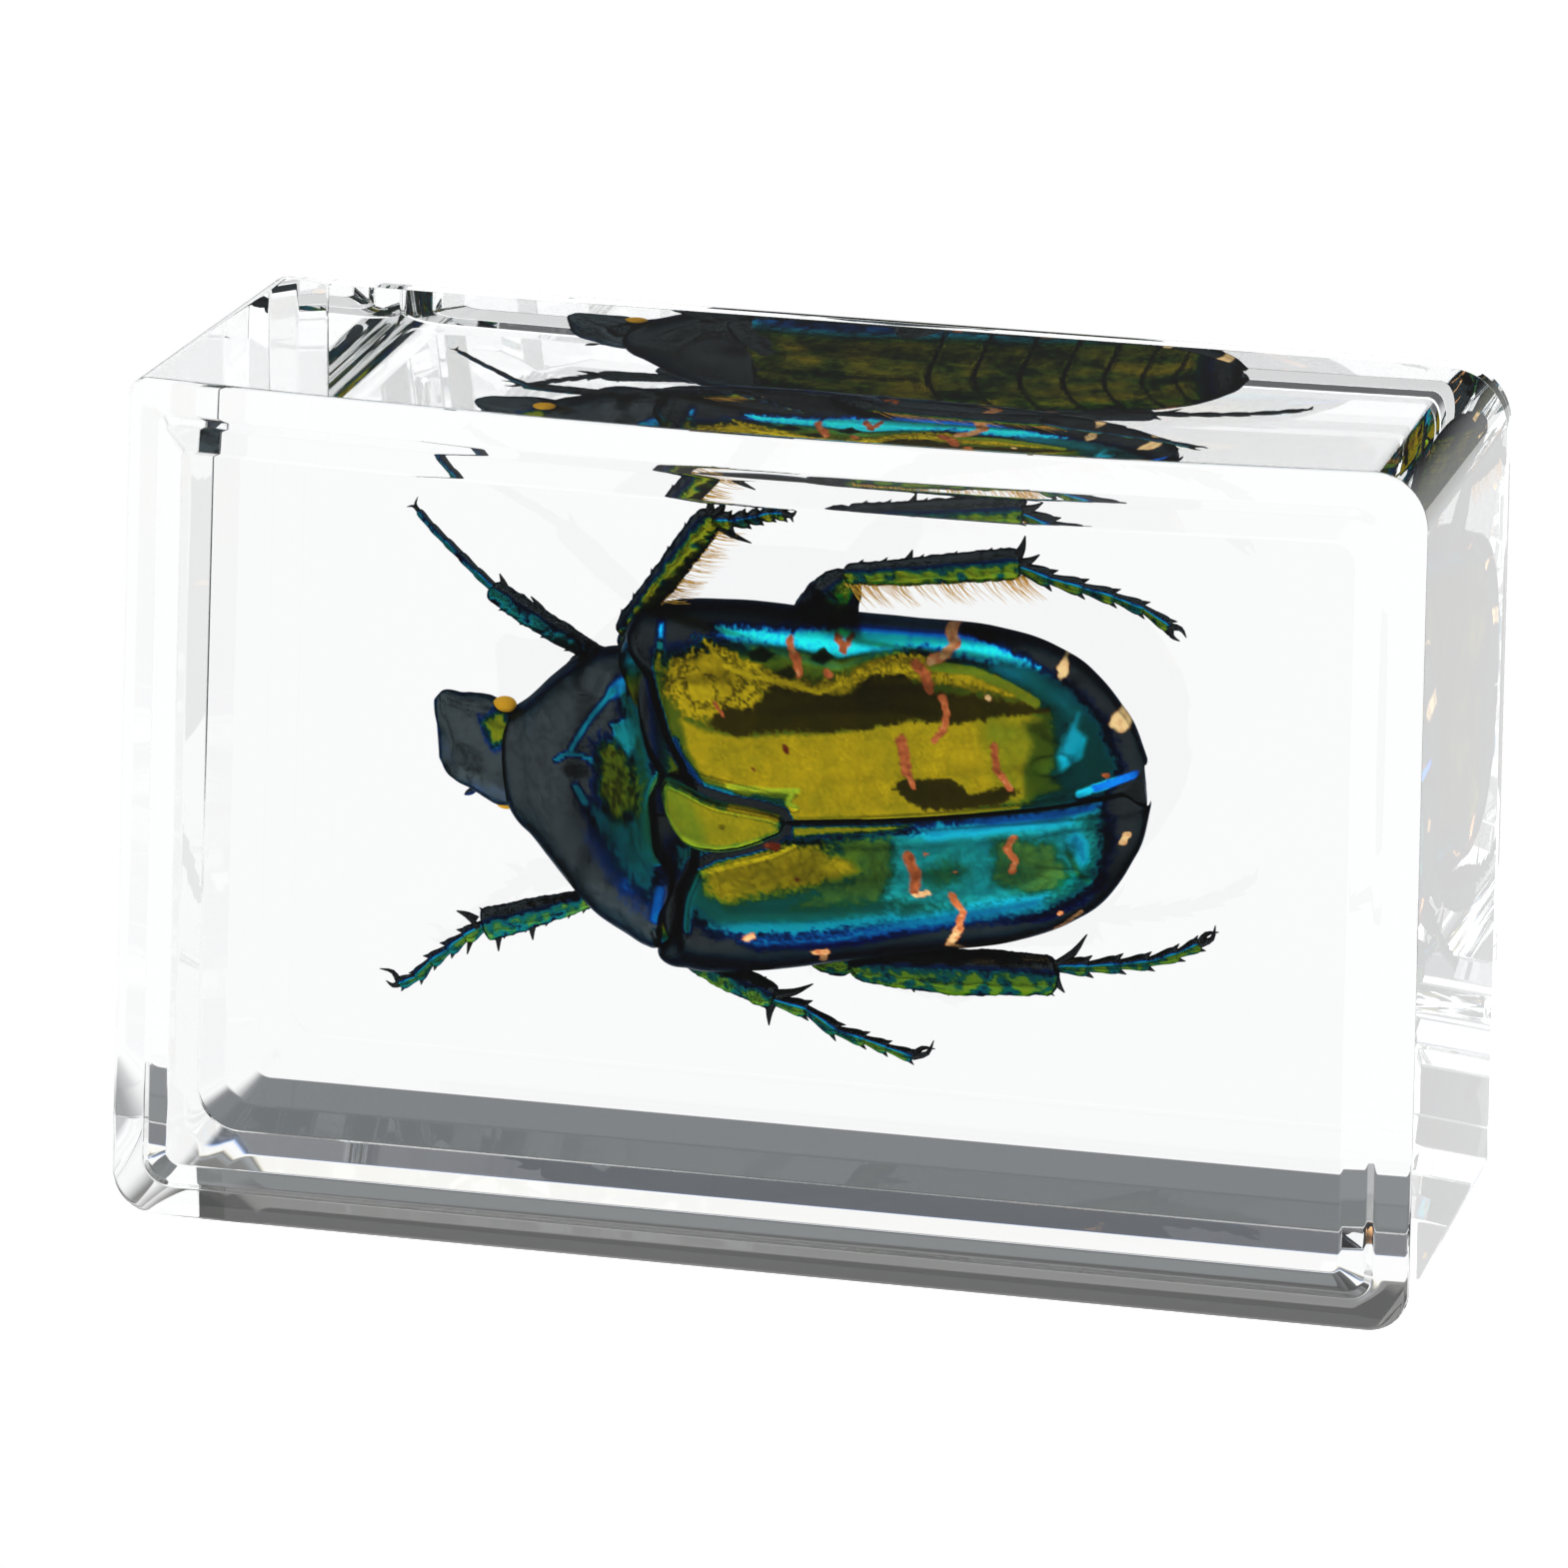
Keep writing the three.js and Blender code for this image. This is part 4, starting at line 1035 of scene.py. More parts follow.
def plain_case():
    """The outer and inner sheets of a wing case without its relief, in rows from front to rear."""
    width_at, rise_at, sink_at, _ = section_curves(HIND_BODY)
    share = np.linspace(0, 1, CASE_ROWS)
    alongs = CASE_FROM + (CASE_TO - CASE_FROM) * (0.65 * share + 0.35 * np.sin(share * math.pi / 2))
    angles = np.concatenate([np.linspace(90, 80, 60), np.linspace(79, CASE_UNDERCUT, 200)])
    sheets = np.zeros((2, CASE_ROWS, CASE_COLUMNS, 3))
    for r, along in enumerate(alongs):
        # The inner edge runs beside the suture, and turns away from it at the very rear.
        inmost = SUTURE_GAP + REAR_GAP * smoothstep(16.25, CASE_TO, along)
        for sheet, shrink in zip(sheets, (0.0, CASE_THICKNESS)):
            shrink = min(shrink, 0.4 * rise_at(along))
            across, up = section_points(width_at(along) - shrink, rise_at(along) - shrink,
                                        sink_at(along) - shrink, 0.0, angles)
            kept = across >= min(inmost, across.max() - 0.05)
            line = even_steps(np.stack([across[kept], up[kept]], axis=1), CASE_COLUMNS)
            sheet[r, :, 0] = along
            sheet[r, :, 1:] = line
    return sheets


def case_relief(outer, seed):
    """Height of a wing case's relief over its plain form."""
    along, across = outer[..., 0], outer[..., 1]
    past_edge = along - curve_through(*zip(*CASE_FRONT_EDGE))(across)
    on_back = smoothstep(-0.3, 0.6, outer[..., 2])
    height = raised(outer[..., :2]) * on_back
    at_front = (1 - smoothstep(-0.2, 0.55, past_edge)) * on_back * smoothstep(5.9, 5.0, across)
    at_suture = (1 - smoothstep(0.0, 0.11, across)) * smoothstep(4.8, 5.4, along)
    height -= FRONT_DROP * at_front + SUTURE_GROOVE * at_suture
    return height + CASE_UNEVENNESS * wander(outer, 1.6, seed)


def wing_case(name, side, patches, lines, mottles, marks, material, seed):
    """One painted wing case; side is 1 for the upper one in the block and -1 for the lower."""
    outer, inner = plain_case()
    flat = outer[..., :2] * (1, side)
    normal = sheet_normals(outer)
    if normal[CASE_ROWS // 2, CASE_COLUMNS // 4, 2] < 0:
        normal = -normal
    height = case_relief(outer, seed)
    outer = (outer + normal * height[..., None]) * (1, side, 1)
    inner = (inner + normal * np.minimum(height, 0)[..., None]) * (1, side, 1)
    hue, light = painted(flat, CASE_GROUND_HUE, CASE_GROUND_LIGHT, patches, lines, seed, mottles)
    above_flank = smoothstep(0.2, 1.3, outer[..., 2])
    hue = CASE_GROUND_HUE + (hue - CASE_GROUND_HUE) * above_flank
    mark, mark_hue = marked(flat, marks, seed + 5)
    return plate(name, outer, inner, material, hue=hue, light=light, mark=mark, mark_hue=mark_hue)


PRONOTUM_PAINT = [
    ("blue rear", 0.2, 0.5, 0.6, 0.3,
     [(-1.6, 0.2), (0.2, -0.9), (0.7, -2.7), (0.2, -3.9), (-1.0, -2.9), (-2.0, -0.9)]),
    ("teal rear", 0.56, 0.22, 0.5, 0.25,
     [(-1.9, 0.6), (0.3, -0.1), (0.6, -2.0), (0.1, -2.9), (-0.8, -1.9)]),
    ("green hind zone", 0.66, 0.42, 0.35, 0.1,
     [(-0.5, 4.4), (0.2, 4.0), (0.6, 2.2), (0.7, 1.4), (0.3, -0.2), (0.4, -1.5), (-0.2, -0.4),
      (0.0, 2.0)]),
    ("olive patch", 0.79, 0.42, 0.35, 0.2,
     [(-1.3, 2.6), (-0.7, 2.9), (-0.1, 2.4), (0.2, 1.1), (-0.1, 0.1), (-0.9, -0.1), (-1.4, 0.9)]),
    ("teal patch", 0.57, 0.8, 0.14, 0.06,
     [(-0.8, 3.25), (0.1, 3.45), (0.2, 2.9), (-0.15, 2.25), (-0.45, 2.7)]),
    ("blue spot", 0.3, 0.7, 0.25, 0.05, [(-1.0, -2.4), (-0.7, -2.3), (-0.6, -2.7), (-0.9, -2.8)]),
]
PRONOTUM_MOTTLES = [
    ("pits in the olive patch", 0.85, 0.45, 0.4,
     [(-1.4, 2.6), (-0.6, 2.9), (0.0, 2.2), (0.2, 0.6), (-0.5, -0.4), (-1.3, 0.2)]),
    ("all over", 0.3, 0.6, 0.3, [(-5.0, 4.5), (0.5, 5.0), (0.8, -4.5), (-4.0, -3.0)]),
]
PRONOTUM_LINES = [
    # Painted highlights: the rim lines, from the teal shoulder end to the blue rim, along the raised hind
    # rim.
    ("teal shoulder end of the rim", 0.55, 0.5, 0.08, 0.14, [(-0.45, 4.95), (0.0, 4.75), (0.2, 4.2)]),
    ("gold rim, top", 0.87, 0.62, 0.04, 0.08, [(0.22, 4.2), (0.3, 3.7), (0.55, 2.9)]),
    ("green rim, upper", 0.79, 0.9, 0.05, 0.09, [(0.55, 2.9), (0.75, 2.4), (0.92, 1.7)]),
    ("green rim, middle", 0.71, 1.25, 0.08, 0.12, [(0.9, 1.6), (0.6, 1.05), (0.42, 0.4)]),
    ("green rim, lower", 0.67, 0.5, 0.08, 0.14, [(0.36, 0.3), (0.28, -0.3), (0.5, -1.5)]),
    ("blue rim", 0.36, 0.42, 0.06, 0.16, [(0.5, -2.6), (0.35, -3.1), (0.12, -3.9)]),
    ("blue end of the sheen line", 0.4, 0.7, 0.1, 0.2, [(-0.1, 4.45), (-0.7, 4.15)]),
    ("teal sheen line", 0.5, 0.5, 0.04, 0.14, [(-0.7, 4.15), (-1.4, 3.45), (-2.2, 2.35)]),
    ("short teal line", 0.54, 0.42, 0.03, 0.12, [(-2.8, 1.9), (-2.35, 2.18), (-1.9, 2.2), (-1.5, 2.05)]),
    # Painted shade in a dent.
    ("painted shade in the dent below it", 0.06, 0.3, 0.16, 0.16, [(-2.3, 1.6), (-1.8, 1.65)]),
    ("teal streak below", 0.53, 0.36, 0.06, 0.2, [(-2.1, 1.05), (-1.85, 0.6)]),
]
PRONOTUM_RIM = [
    (0.2, 4.6), (0.2, 3.5), (0.4, 2.4), (0.8, 1.5), (0.4, 0.7), (0.35, -1.2), (0.75, -2.1), (0.7, -2.8),
    (0.15, -4.2),
]
PRONOTUM_DENT = (-0.7, 1.2)
RIM_HEIGHT, RIM_GROOVE, DENT_DEPTH = 0.05, 0.04, 0.1
HEAD_PAINT = [
    ("lighter grey patch", 0.06, 1.9, 0.5, 0.2, [(-6.9, 3.0), (-5.6, 3.0), (-5.0, 0.6), (-6.4, 1.0)]),
    ("gold patch", 0.81, 0.85, 0.22, 0.12, [(-5.6, 2.8), (-4.8, 3.0), (-4.4, 2.2), (-5.2, 1.8)]),
    ("green lip", 0.74, 0.5, 0.06, 0.04, [(-7.4, 3.3), (-7.2, 3.2), (-7.2, 1.3), (-7.4, 1.2)]),
]


def body_loft(stations, rows, around, edge=None):
    """A closed skin through the sections, as a sheet of rows by around points."""
    curves = section_curves(stations)
    alongs = np.linspace(stations[0][0], stations[-1][0], rows)
    angles = np.linspace(0, 360, around, endpoint=False) + 90
    sheet = np.zeros((rows, around, 3))
    for r, along in enumerate(alongs):
        across, up = section_points(*(curve(along) for curve in curves), angles)
        sheet[r] = np.stack([np.full(around, along), across, up], axis=1)
    if edge is not None:
        edge_at = curve_through(*zip(*edge))
        last = stations[-1][0]
        push = (edge_at(sheet[..., 1]) - (last - 0.15)) * smoothstep(last - 2.0, last, sheet[..., 0])
        sheet[..., 0] += push * smoothstep(-0.5, 1.0, sheet[..., 2])
    return sheet


def pronotum_piece(material):
    """The broad plate behind the head, with a rim and a groove along its hind edge."""
    rows, around = 150, 260
    stations = PRONOTUM + [(0.72, 4.55, 2.75, 2.75, -0.45)]
    sheet = body_loft(stations, rows, around, PRONOTUM_HIND_EDGE)
    along, across = sheet[..., 0], sheet[..., 1]
    on_back = smoothstep(0.0, 1.0, sheet[..., 2])
    rim = distance_to_line(sheet[..., :2], PRONOTUM_RIM)
    dent = np.hypot(along - PRONOTUM_DENT[0], across - PRONOTUM_DENT[1])
    height = RIM_HEIGHT * np.exp(-(rim / 0.1) ** 2) - RIM_GROOVE * np.exp(-((rim - 0.3) / 0.12) ** 2)
    height -= DENT_DEPTH * np.exp(-(dent / 0.7) ** 2)
    height = height * on_back + 0.02 * wander(sheet, 1.2, 21)
    hue, light = painted(sheet[..., :2], DARK_HUE, 1.5, PRONOTUM_PAINT, PRONOTUM_LINES,
                         seed=31, mottles=PRONOTUM_MOTTLES)
    hue = DARK_HUE + (hue - DARK_HUE) * on_back
    light = np.where(sheet[..., 2] > 0, light, 0.8)
    points = in_block(pushed_out(sheet, height))
    return Skin().add(points, tube_faces(rows, around), hue=hue, light=light).make("pronotum", material)


SCUTELLUM_UPPER_EDGE = [
    (0.92, 1.2), (1.15, 1.55), (1.45, 1.5), (1.9, 1.28), (2.3, 1.05), (2.8, 0.83), (3.4, 0.7),
    (4.2, 0.54), (4.8, 0.38), (5.05, 0.22), (5.14, 0.02),
]
SCUTELLUM_LOWER_EDGE = [
    (0.92, 0.9), (1.0, 0.4), (1.15, -0.1), (1.4, -0.58), (1.7, -0.85), (2.1, -1.0), (2.7, -1.06),
    (3.4, -0.98), (4.0, -0.8), (4.6, -0.55), (5.0, -0.3), (5.14, -0.02),
]


SCUTELLUM_FRONT, SCUTELLUM_TIP = 0.92, 5.14
PLATE_HEIGHT, PLATE_RIM, PLATE_SINK = 0.2, 0.05, 0.45
SCUTELLUM_PAINT = [
    ("gold plate", 0.865, 1.05, 0.18, 0.08,
     [(1.15, 1.3), (1.6, 1.2), (2.3, 0.85), (3.4, 0.5), (4.9, 0.15), (4.9, -0.2), (4.0, -0.6),
      (2.7, -0.85), (1.9, -0.75), (1.4, -0.2), (1.1, 0.6)]),
    ("green front of the plate", 0.8, 1.0, 0.35, 0.1,
     [(1.0, 1.5), (1.9, 1.2), (2.3, 0.4), (2.4, -0.8), (1.5, -0.7), (1.0, 0.3)]),
]
SCUTELLUM_LINES = [
    # Painted highlight along the plate's rolled lower edge.
    ("painted highlight on the lower edge", 0.79, 1.6, 0.06, 0.14,
     [(1.6, -0.6), (2.1, -0.86), (2.7, -0.93), (3.4, -0.84), (4.2, -0.6)]),
    ("orange upper edge", 0.93, 0.95, 0.04, 0.12, [(3.3, 0.6), (4.2, 0.42), (4.9, 0.22)]),
    ("dark spot", 0.88, 0.4, 0.05, 0.08, [(2.95, -0.08), (3.0, -0.08)]),
]


def scutellum_piece(material):
    """The three-cornered plate between the wing cases' bases."""
    rows, columns = 90, 60
    upper_at = curve_through(*zip(*SCUTELLUM_UPPER_EDGE))
    lower_at = curve_through(*zip(*SCUTELLUM_LOWER_EDGE))
    _, rise_at, _, _ = section_curves(HIND_BODY)
    share = np.sin(np.linspace(-1, 1, columns) * math.pi / 2)
    top, under = np.zeros((2, rows, columns, 3))
    for r, along in enumerate(np.linspace(SCUTELLUM_FRONT, SCUTELLUM_TIP, rows)):
        half = (upper_at(along) - lower_at(along)) / 2
        across = (upper_at(along) + lower_at(along)) / 2 + half * share
        to_edge = half * (1 - np.abs(share))
        to_front = along - SCUTELLUM_FRONT
        roll = smoothstep(0.0, 0.22, np.minimum(to_edge, to_front + 0.02))
        base = rise_at(along) * (1 - (np.abs(across) / 6.2) ** ROUNDNESS) ** (1 / ROUNDNESS)
        rim = PLATE_RIM * np.exp(-((to_edge - 0.2) / 0.09) ** 2)
        alongs = np.full(columns, along)
        top[r] = np.stack([alongs, across, base + 0.02 + PLATE_HEIGHT * roll + rim], axis=1)
        under[r] = np.stack([alongs, across, base - PLATE_SINK], axis=1)
    hue, light = painted(top[..., :2], 0.63, 0.3, SCUTELLUM_PAINT, SCUTELLUM_LINES, seed=41)
    return plate("scutellum", top, under, material, hue=hue, light=light)


def ball(centre, size, rings=24, around=36):
    """Points and faces of an ellipsoid with its size along, across and in rise."""
    rows = []
    for k in range(1, rings):
        polar = math.pi * k / rings
        rows.append([(math.cos(polar), math.sin(polar) * math.cos(t), math.sin(polar) * math.sin(t))
                     for t in np.linspace(0, 2 * math.pi, around, endpoint=False)])
    return np.array(centre) + np.array(rows) * np.array(size), tube_faces(rings - 1, around)


HEAD_GROUND_HUE, HEAD_GROUND_LIGHT = 0.1, 1.6
FEELERS = [(1, (-5.35, 3.05, 0.1)), (-1, (-5.6, -0.45, 0.1))]  # side, and where it starts
FEELER_LOOK = {"hue": 0.3, "light": 0.8}
FEELER_LEAVES = (-0.09, 0.0, 0.09)  # rise of the club's three leaves


def add_feeler(skin, side, start):
    """A short feeler, folded under the head, with a club of three leaves."""
    base = np.array(start)
    stalk = [base, base + (-0.25, -0.05 * side, -0.35), base + (-0.6, -0.25 * side, -0.6)]
    add_limb(skin, in_block(stalk), [0.09, 0.08, 0.07], **FEELER_LOOK)
    for leaf in FEELER_LEAVES:
        club = [stalk[-1] + (along, -0.4 * along * side, leaf) for along in (0.0, -0.28, -0.5)]
        add_limb(skin, in_block(club), [0.05, 0.1, 0.04], **FEELER_LOOK)


def head_piece(material):
    """The head down to its square lip, with the two feelers."""
    rows, around = 110, 120
    sheet = body_loft(HEAD, rows, around)
    # The lip is square across the front, with a shallow notch in its middle.
    toward_lip = 1 - smoothstep(-7.3, -6.2, sheet[..., 0])
    offset = sheet[..., 1] - 2.1
    sheet[..., 0] += 0.18 * toward_lip * np.exp(-(offset / 0.5) ** 2)
    on_back = smoothstep(-0.1, 0.4, sheet[..., 2])
    lip_rim = np.exp(-((sheet[..., 0] + 7.1) / 0.15) ** 2)
    height = 0.06 * lip_rim * on_back + 0.03 * wander(sheet, 0.6, 51)
    hue, light = painted(sheet[..., :2], HEAD_GROUND_HUE, HEAD_GROUND_LIGHT, HEAD_PAINT, [], seed=52)
    hue = HEAD_GROUND_HUE + (hue - HEAD_GROUND_HUE) * on_back
    points = in_block(pushed_out(sheet, height))
    skin = Skin().add(points, tube_faces(rows, around), hue=hue, light=light)
    for side, start in FEELERS:
        add_feeler(skin, side, start)
    return skin.make("head", material)


EYES = [  # name, middle, and size along, across and in rise
    ("eye_upper", (-4.85, 3.05, 0.1), (0.42, 0.28, 0.4)),
    ("eye_lower", (-5.15, -0.5, -0.1), (0.42, 0.3, 0.4)),
]


PLATE_STEP, SEAM_DEPTH, CHEST_SEAM_DEPTH = 0.07, 0.1, 0.16
# Where each belly plate ends, along the beetle.
BELLY_SEAMS = [6.9, 8.5, 10.1, 11.6, 13.0, 14.3, 15.4]


def underside_piece(material):
    """The chest and the jointed belly, drawn in a little under the wing cases."""
    rows, around = 240, 180
    stations = [(a, w - 0.2, r - 0.7 * min(r, 1), s, x) for a, w, r, s, x in HIND_BODY[:-1]]
    stations.append((16.95, 0.9, 0.15, 0.3, 0.0))
    sheet = body_loft(stations, rows, around)
    along, across = sheet[..., 0], sheet[..., 1]
    height = np.zeros(sheet.shape[:-1])
    bow = 0.5 * np.exp(-(across / 3.0) ** 2)
    for seam in BELLY_SEAMS:
        past = along - seam + bow
        height += PLATE_STEP * smoothstep(-0.55, 0.0, past) * (1 - smoothstep(0.0, 0.09, past))
        height -= SEAM_DEPTH * np.exp(-((past - 0.1) / 0.07) ** 2)
    chest = 1 - smoothstep(5.6, 6.4, along)
    height -= CHEST_SEAM_DEPTH * chest * np.exp(-(across / 0.12) ** 2)
    height += 0.05 * wander(sheet, 0.9, 61) * chest
    height += 0.02 * wander(sheet, 0.35, 62)
    tone = wander(sheet, 1.5, 63)
    fine = wander(sheet, 0.3, 64)
    tail = smoothstep(15.4, 16.4, along)
    brown = 0.8 + 0.12 * tone - 0.5 * smoothstep(4.2, 5.8, np.abs(across))
    brown_light = np.clip(0.2 + 0.25 * tone + 0.2 * fine, 0.05, 1.0)
    hue, light = laid_over(brown, brown_light, DARK_HUE, 0.5, tail)
    # Painted shade: points sunk into the seams are darkened.
    light = np.where(height < -0.03, 0.08, light)
    below = smoothstep(0.2, -0.8, sheet[..., 2])
    points = in_block(pushed_out(sheet, height * below))
    return Skin().add(points, tube_faces(rows, around), hue=hue, light=light).make("underside", material)


# ---- Legs ----

# Each limb is a run of places with a half width: x, y, z, half width.
# A leg's hue and light are those of the painted highlight along it.
LEGS = [
    {"name": "leg_front_upper", "hue": 0.6, "light": 0.4,
     "limbs": [[(-8.6, 5.6, 16.6, 0.9), (-7.9, 4.8, 17.8, 0.95), (-7.2, 3.9, 18.9, 0.6)],
               [(-7.3, 3.6, 18.8, 0.34), (-9.2, 2.7, 20.0, 0.44), (-10.9, 1.8, 21.2, 0.4)]],
     "spikes": [((-9.1, 2.7, 20.1), (-9.6, 2.5, 20.9)), ((-10.4, 2.1, 20.9), (-10.6, 1.9, 21.7))],
     "foot": [(-10.8, 1.9, 21.2), (-11.5, 2.2, 21.7), (-12.1, 2.7, 22.1), (-12.7, 3.1, 22.5),
              (-13.3, 3.6, 22.9), (-13.8, 4.0, 23.3)],
     "foot_width": 0.2, "plain_foot": True, "claws": [(-14.3, 4.2, 23.4), (-13.9, 4.3, 23.8)]},
    {"name": "leg_middle_upper", "hue": 0.8, "light": 0.75,
     "limbs": [[(-4.4, 6.0, 16.8, 0.95), (-5.4, 5.2, 18.4, 1.0), (-6.5, 3.9, 19.8, 0.6)],
               [(-6.6, 3.6, 19.7, 0.42), (-4.9, 2.1, 22.0, 0.5), (-3.1, 0.5, 24.5, 0.54)]],
     "spikes": [((-3.2, 0.6, 24.5), (-3.2, 0.3, 25.2)), ((-3.0, 0.6, 24.5), (-2.6, 0.2, 25.1)),
                ((-3.1, 0.7, 24.3), (-1.7, 0.2, 23.7))],
     "foot": [(-3.1, 0.6, 24.3), (-2.4, 0.1, 24.4), (-1.8, -0.4, 24.6), (-1.3, -0.9, 24.8),
              (-0.8, -1.4, 25.0), (-0.3, -1.8, 25.1)],
     "foot_width": 0.34, "claws": [(0.2, -2.1, 25.3), (0.1, -2.3, 24.9)]},
    {"name": "leg_hind_upper", "hue": 0.76, "light": 0.7,
     "limbs": [[(-0.8, 5.8, 17.4, 1.15), (0.2, 3.8, 20.4, 1.15), (1.0, 2.2, 21.9, 0.85),
                (1.6, 1.3, 22.7, 0.5)],
               [(1.3, 1.3, 22.7, 0.36), (4.5, 0.7, 23.2, 0.5), (7.5, 0.2, 23.75, 0.56)]],
     "spikes": [((7.3, 0.2, 23.9), (7.6, 0.0, 24.7)), ((7.4, 0.2, 23.7), (8.1, 0.0, 24.1)),
                ((3.4, 0.9, 23.2), (3.7, 0.8, 23.8))],
     "foot": [(7.4, 0.2, 23.6), (8.5, 0.0, 23.3), (9.6, -0.1, 23.1), (10.7, -0.3, 22.9),
              (11.7, -0.4, 22.6), (12.6, -0.5, 22.1)],
     "foot_width": 0.34, "claws": [(13.0, -0.6, 21.6), (13.2, -0.3, 21.7)]},
    {"name": "leg_front_lower", "hue": 0.7, "light": 1.1,
     "limbs": [[(-8.2, 5.8, 13.0, 0.9), (-7.9, 5.4, 11.6, 0.95), (-7.5, 4.9, 10.3, 0.6)],
               [(-7.6, 4.7, 10.2, 0.32), (-9.4, 4.4, 9.6, 0.5), (-11.4, 4.2, 8.95, 0.6)]],
     "spikes": [((-9.6, 4.4, 9.4), (-9.6, 4.2, 8.6)), ((-10.7, 4.3, 9.1), (-10.8, 4.2, 8.1)),
                ((-11.5, 4.2, 9.0), (-11.9, 4.2, 7.9)), ((-11.6, 4.2, 9.1), (-12.3, 4.2, 9.4))],
     "foot": [(-11.3, 4.2, 9.0), (-12.0, 4.25, 8.5), (-12.6, 4.3, 8.0), (-13.2, 4.35, 7.5),
              (-13.7, 4.4, 6.9), (-14.3, 4.5, 6.6)],
     "foot_width": 0.32, "claws": [(-15.1, 4.5, 7.1), (-14.9, 4.8, 6.6)]},
    {"name": "leg_middle_lower", "hue": 0.72, "light": 0.9,
     "limbs": [[(-3.6, 6.2, 12.2, 1.0), (-4.2, 6.0, 10.4, 1.05), (-4.6, 5.4, 8.6, 0.65)],
               [(-4.6, 5.2, 8.5, 0.4), (-2.8, 4.8, 7.8, 0.5), (-1.1, 4.3, 7.3, 0.5)]],
     "spikes": [((-1.2, 4.4, 7.2), (-1.3, 4.3, 6.3)), ((-1.1, 4.3, 7.4), (0.2, 4.3, 7.9))],
     "foot": [(-1.1, 4.3, 7.2), (0.0, 4.2, 7.0), (1.1, 4.0, 6.4), (2.1, 3.8, 6.2),
              (2.9, 3.7, 6.0), (3.8, 3.6, 5.8)],
     "foot_width": 0.33, "claws": [(4.6, 3.5, 6.5), (4.6, 3.9, 6.1)]},
    {"name": "leg_hind_lower", "hue": 0.74, "light": 0.6,
     "limbs": [[(-0.2, 6.2, 12.4, 1.15), (-0.1, 5.9, 10.3, 1.2), (0.8, 5.0, 8.9, 0.8),
                (1.6, 4.7, 8.6, 0.5)],
               [(1.4, 4.6, 8.6, 0.5), (5.0, 4.35, 8.75, 0.8), (8.7, 4.1, 9.0, 0.7)]],
     "spikes": [((3.5, 4.5, 8.5), (3.7, 4.4, 7.9)), ((4.7, 4.4, 8.6), (4.9, 4.3, 7.9)),
                ((5.9, 4.3, 8.7), (6.1, 4.2, 8.0)), ((8.5, 4.1, 9.0), (8.9, 4.1, 8.4)),
                ((8.6, 4.1, 9.3), (9.6, 4.1, 10.5))],
     "foot": [(8.6, 4.1, 9.3), (9.7, 4.0, 9.4), (10.8, 3.9, 9.6), (11.8, 3.75, 9.8),
              (12.8, 3.6, 10.2), (13.5, 3.5, 10.6)],
     "foot_width": 0.35, "claws": [(14.1, 3.3, 11.4), (14.2, 3.6, 11.1)]},
]


def smooth_path(places, rings):
    """Points along a smooth line through the places, closer together near its ends."""
    places = np.asarray(places, float)
    run = np.concatenate([[0.0], np.cumsum(np.linalg.norm(np.diff(places[:, :3], axis=0), axis=1))])
    share = (1 - np.cos(np.linspace(0, math.pi, rings))) / 2
    wanted = share * run[-1]
    return np.stack([curve_through(run, column)(wanted) for column in places.T], axis=1), share


def limb_frames(centre):
    """At each point of a line: the unit steps to its side across the view and to its front."""
    tangent = np.gradient(centre, axis=0)
    tangent /= np.linalg.norm(tangent, axis=1, keepdims=True)
    side = np.cross(tangent, TO_VIEWER)
    side /= np.linalg.norm(side, axis=1, keepdims=True)
    return side, np.cross(side, tangent)


def spokes(centre, angles, depth=1.0):
    """Steps out from a line at each of its points, round the given angles."""
    side, front = limb_frames(centre)
    return (np.cos(angles)[None, :, None] * side[:, None, :]
            + np.sin(angles)[None, :, None] * front[:, None, :] * depth)


def aside_from(step):
    """The unit step to the side of a limb's step, across the view."""
    side = np.cross(step, TO_VIEWER)
    return side / np.linalg.norm(side)


LIT_SIDE = np.array([0.0, -0.9, -0.44])  # where the painted highlight on a limb faces: out and a little down


def add_limb(skin, places, radii, rings=16, around=12, depth=0.8, blunt=6.0, grain=0.0,
             hue=0.0, light=1.0):
    """One closed, round-ended limb; a painted highlight runs along its side toward LIT_SIDE, its edges
    stay dark.
    """
    places = np.column_stack([np.asarray(places, float), radii])
    path, share = smooth_path(places, rings)
    centre, radius = path[:, :3], path[:, 3]
    radius = radius * np.sqrt(np.clip(1 - np.abs(2 * share - 1) ** blunt, 0.0025, 1))
    outward = spokes(centre, np.linspace(0, 2 * math.pi, around, endpoint=False), depth)
    sheet = centre[:, None, :] + outward * radius[:, None, None]
    rough = wander(sheet, 0.5, 71)
    fine = wander(sheet, 0.16, 72)
    # Painted highlight: brightest where the limb faces LIT_SIDE.
    facing = outward @ LIT_SIDE
    streak = smoothstep(0.45, 0.95, facing / facing.max(axis=1, keepdims=True))
    lit = np.clip(streak * (1.0 + 0.6 * rough + 0.25 * fine), 0, 1)
    if grain:
        sheet = sheet + outward * (grain * (rough + 0.6 * fine))[..., None]
    limb_hue, limb_light = laid_over(DARK_HUE, DARK_LIGHT, hue + 0.06 * rough, light, lit)
    skin.add(sheet, tube_faces(rings, around), hue=limb_hue, light=limb_light)


def add_thread(skin, places, widths, rings, around, **values):
    """A fine closed tube along a smooth line through three places."""
    path, _ = smooth_path(np.column_stack([places, widths]), rings)
    ring = spokes(path[:, :3], np.linspace(0, 2 * math.pi, around, endpoint=False))
    skin.add(path[:, None, :3] + ring * path[:, None, 3:], tube_faces(rings, around), **values)


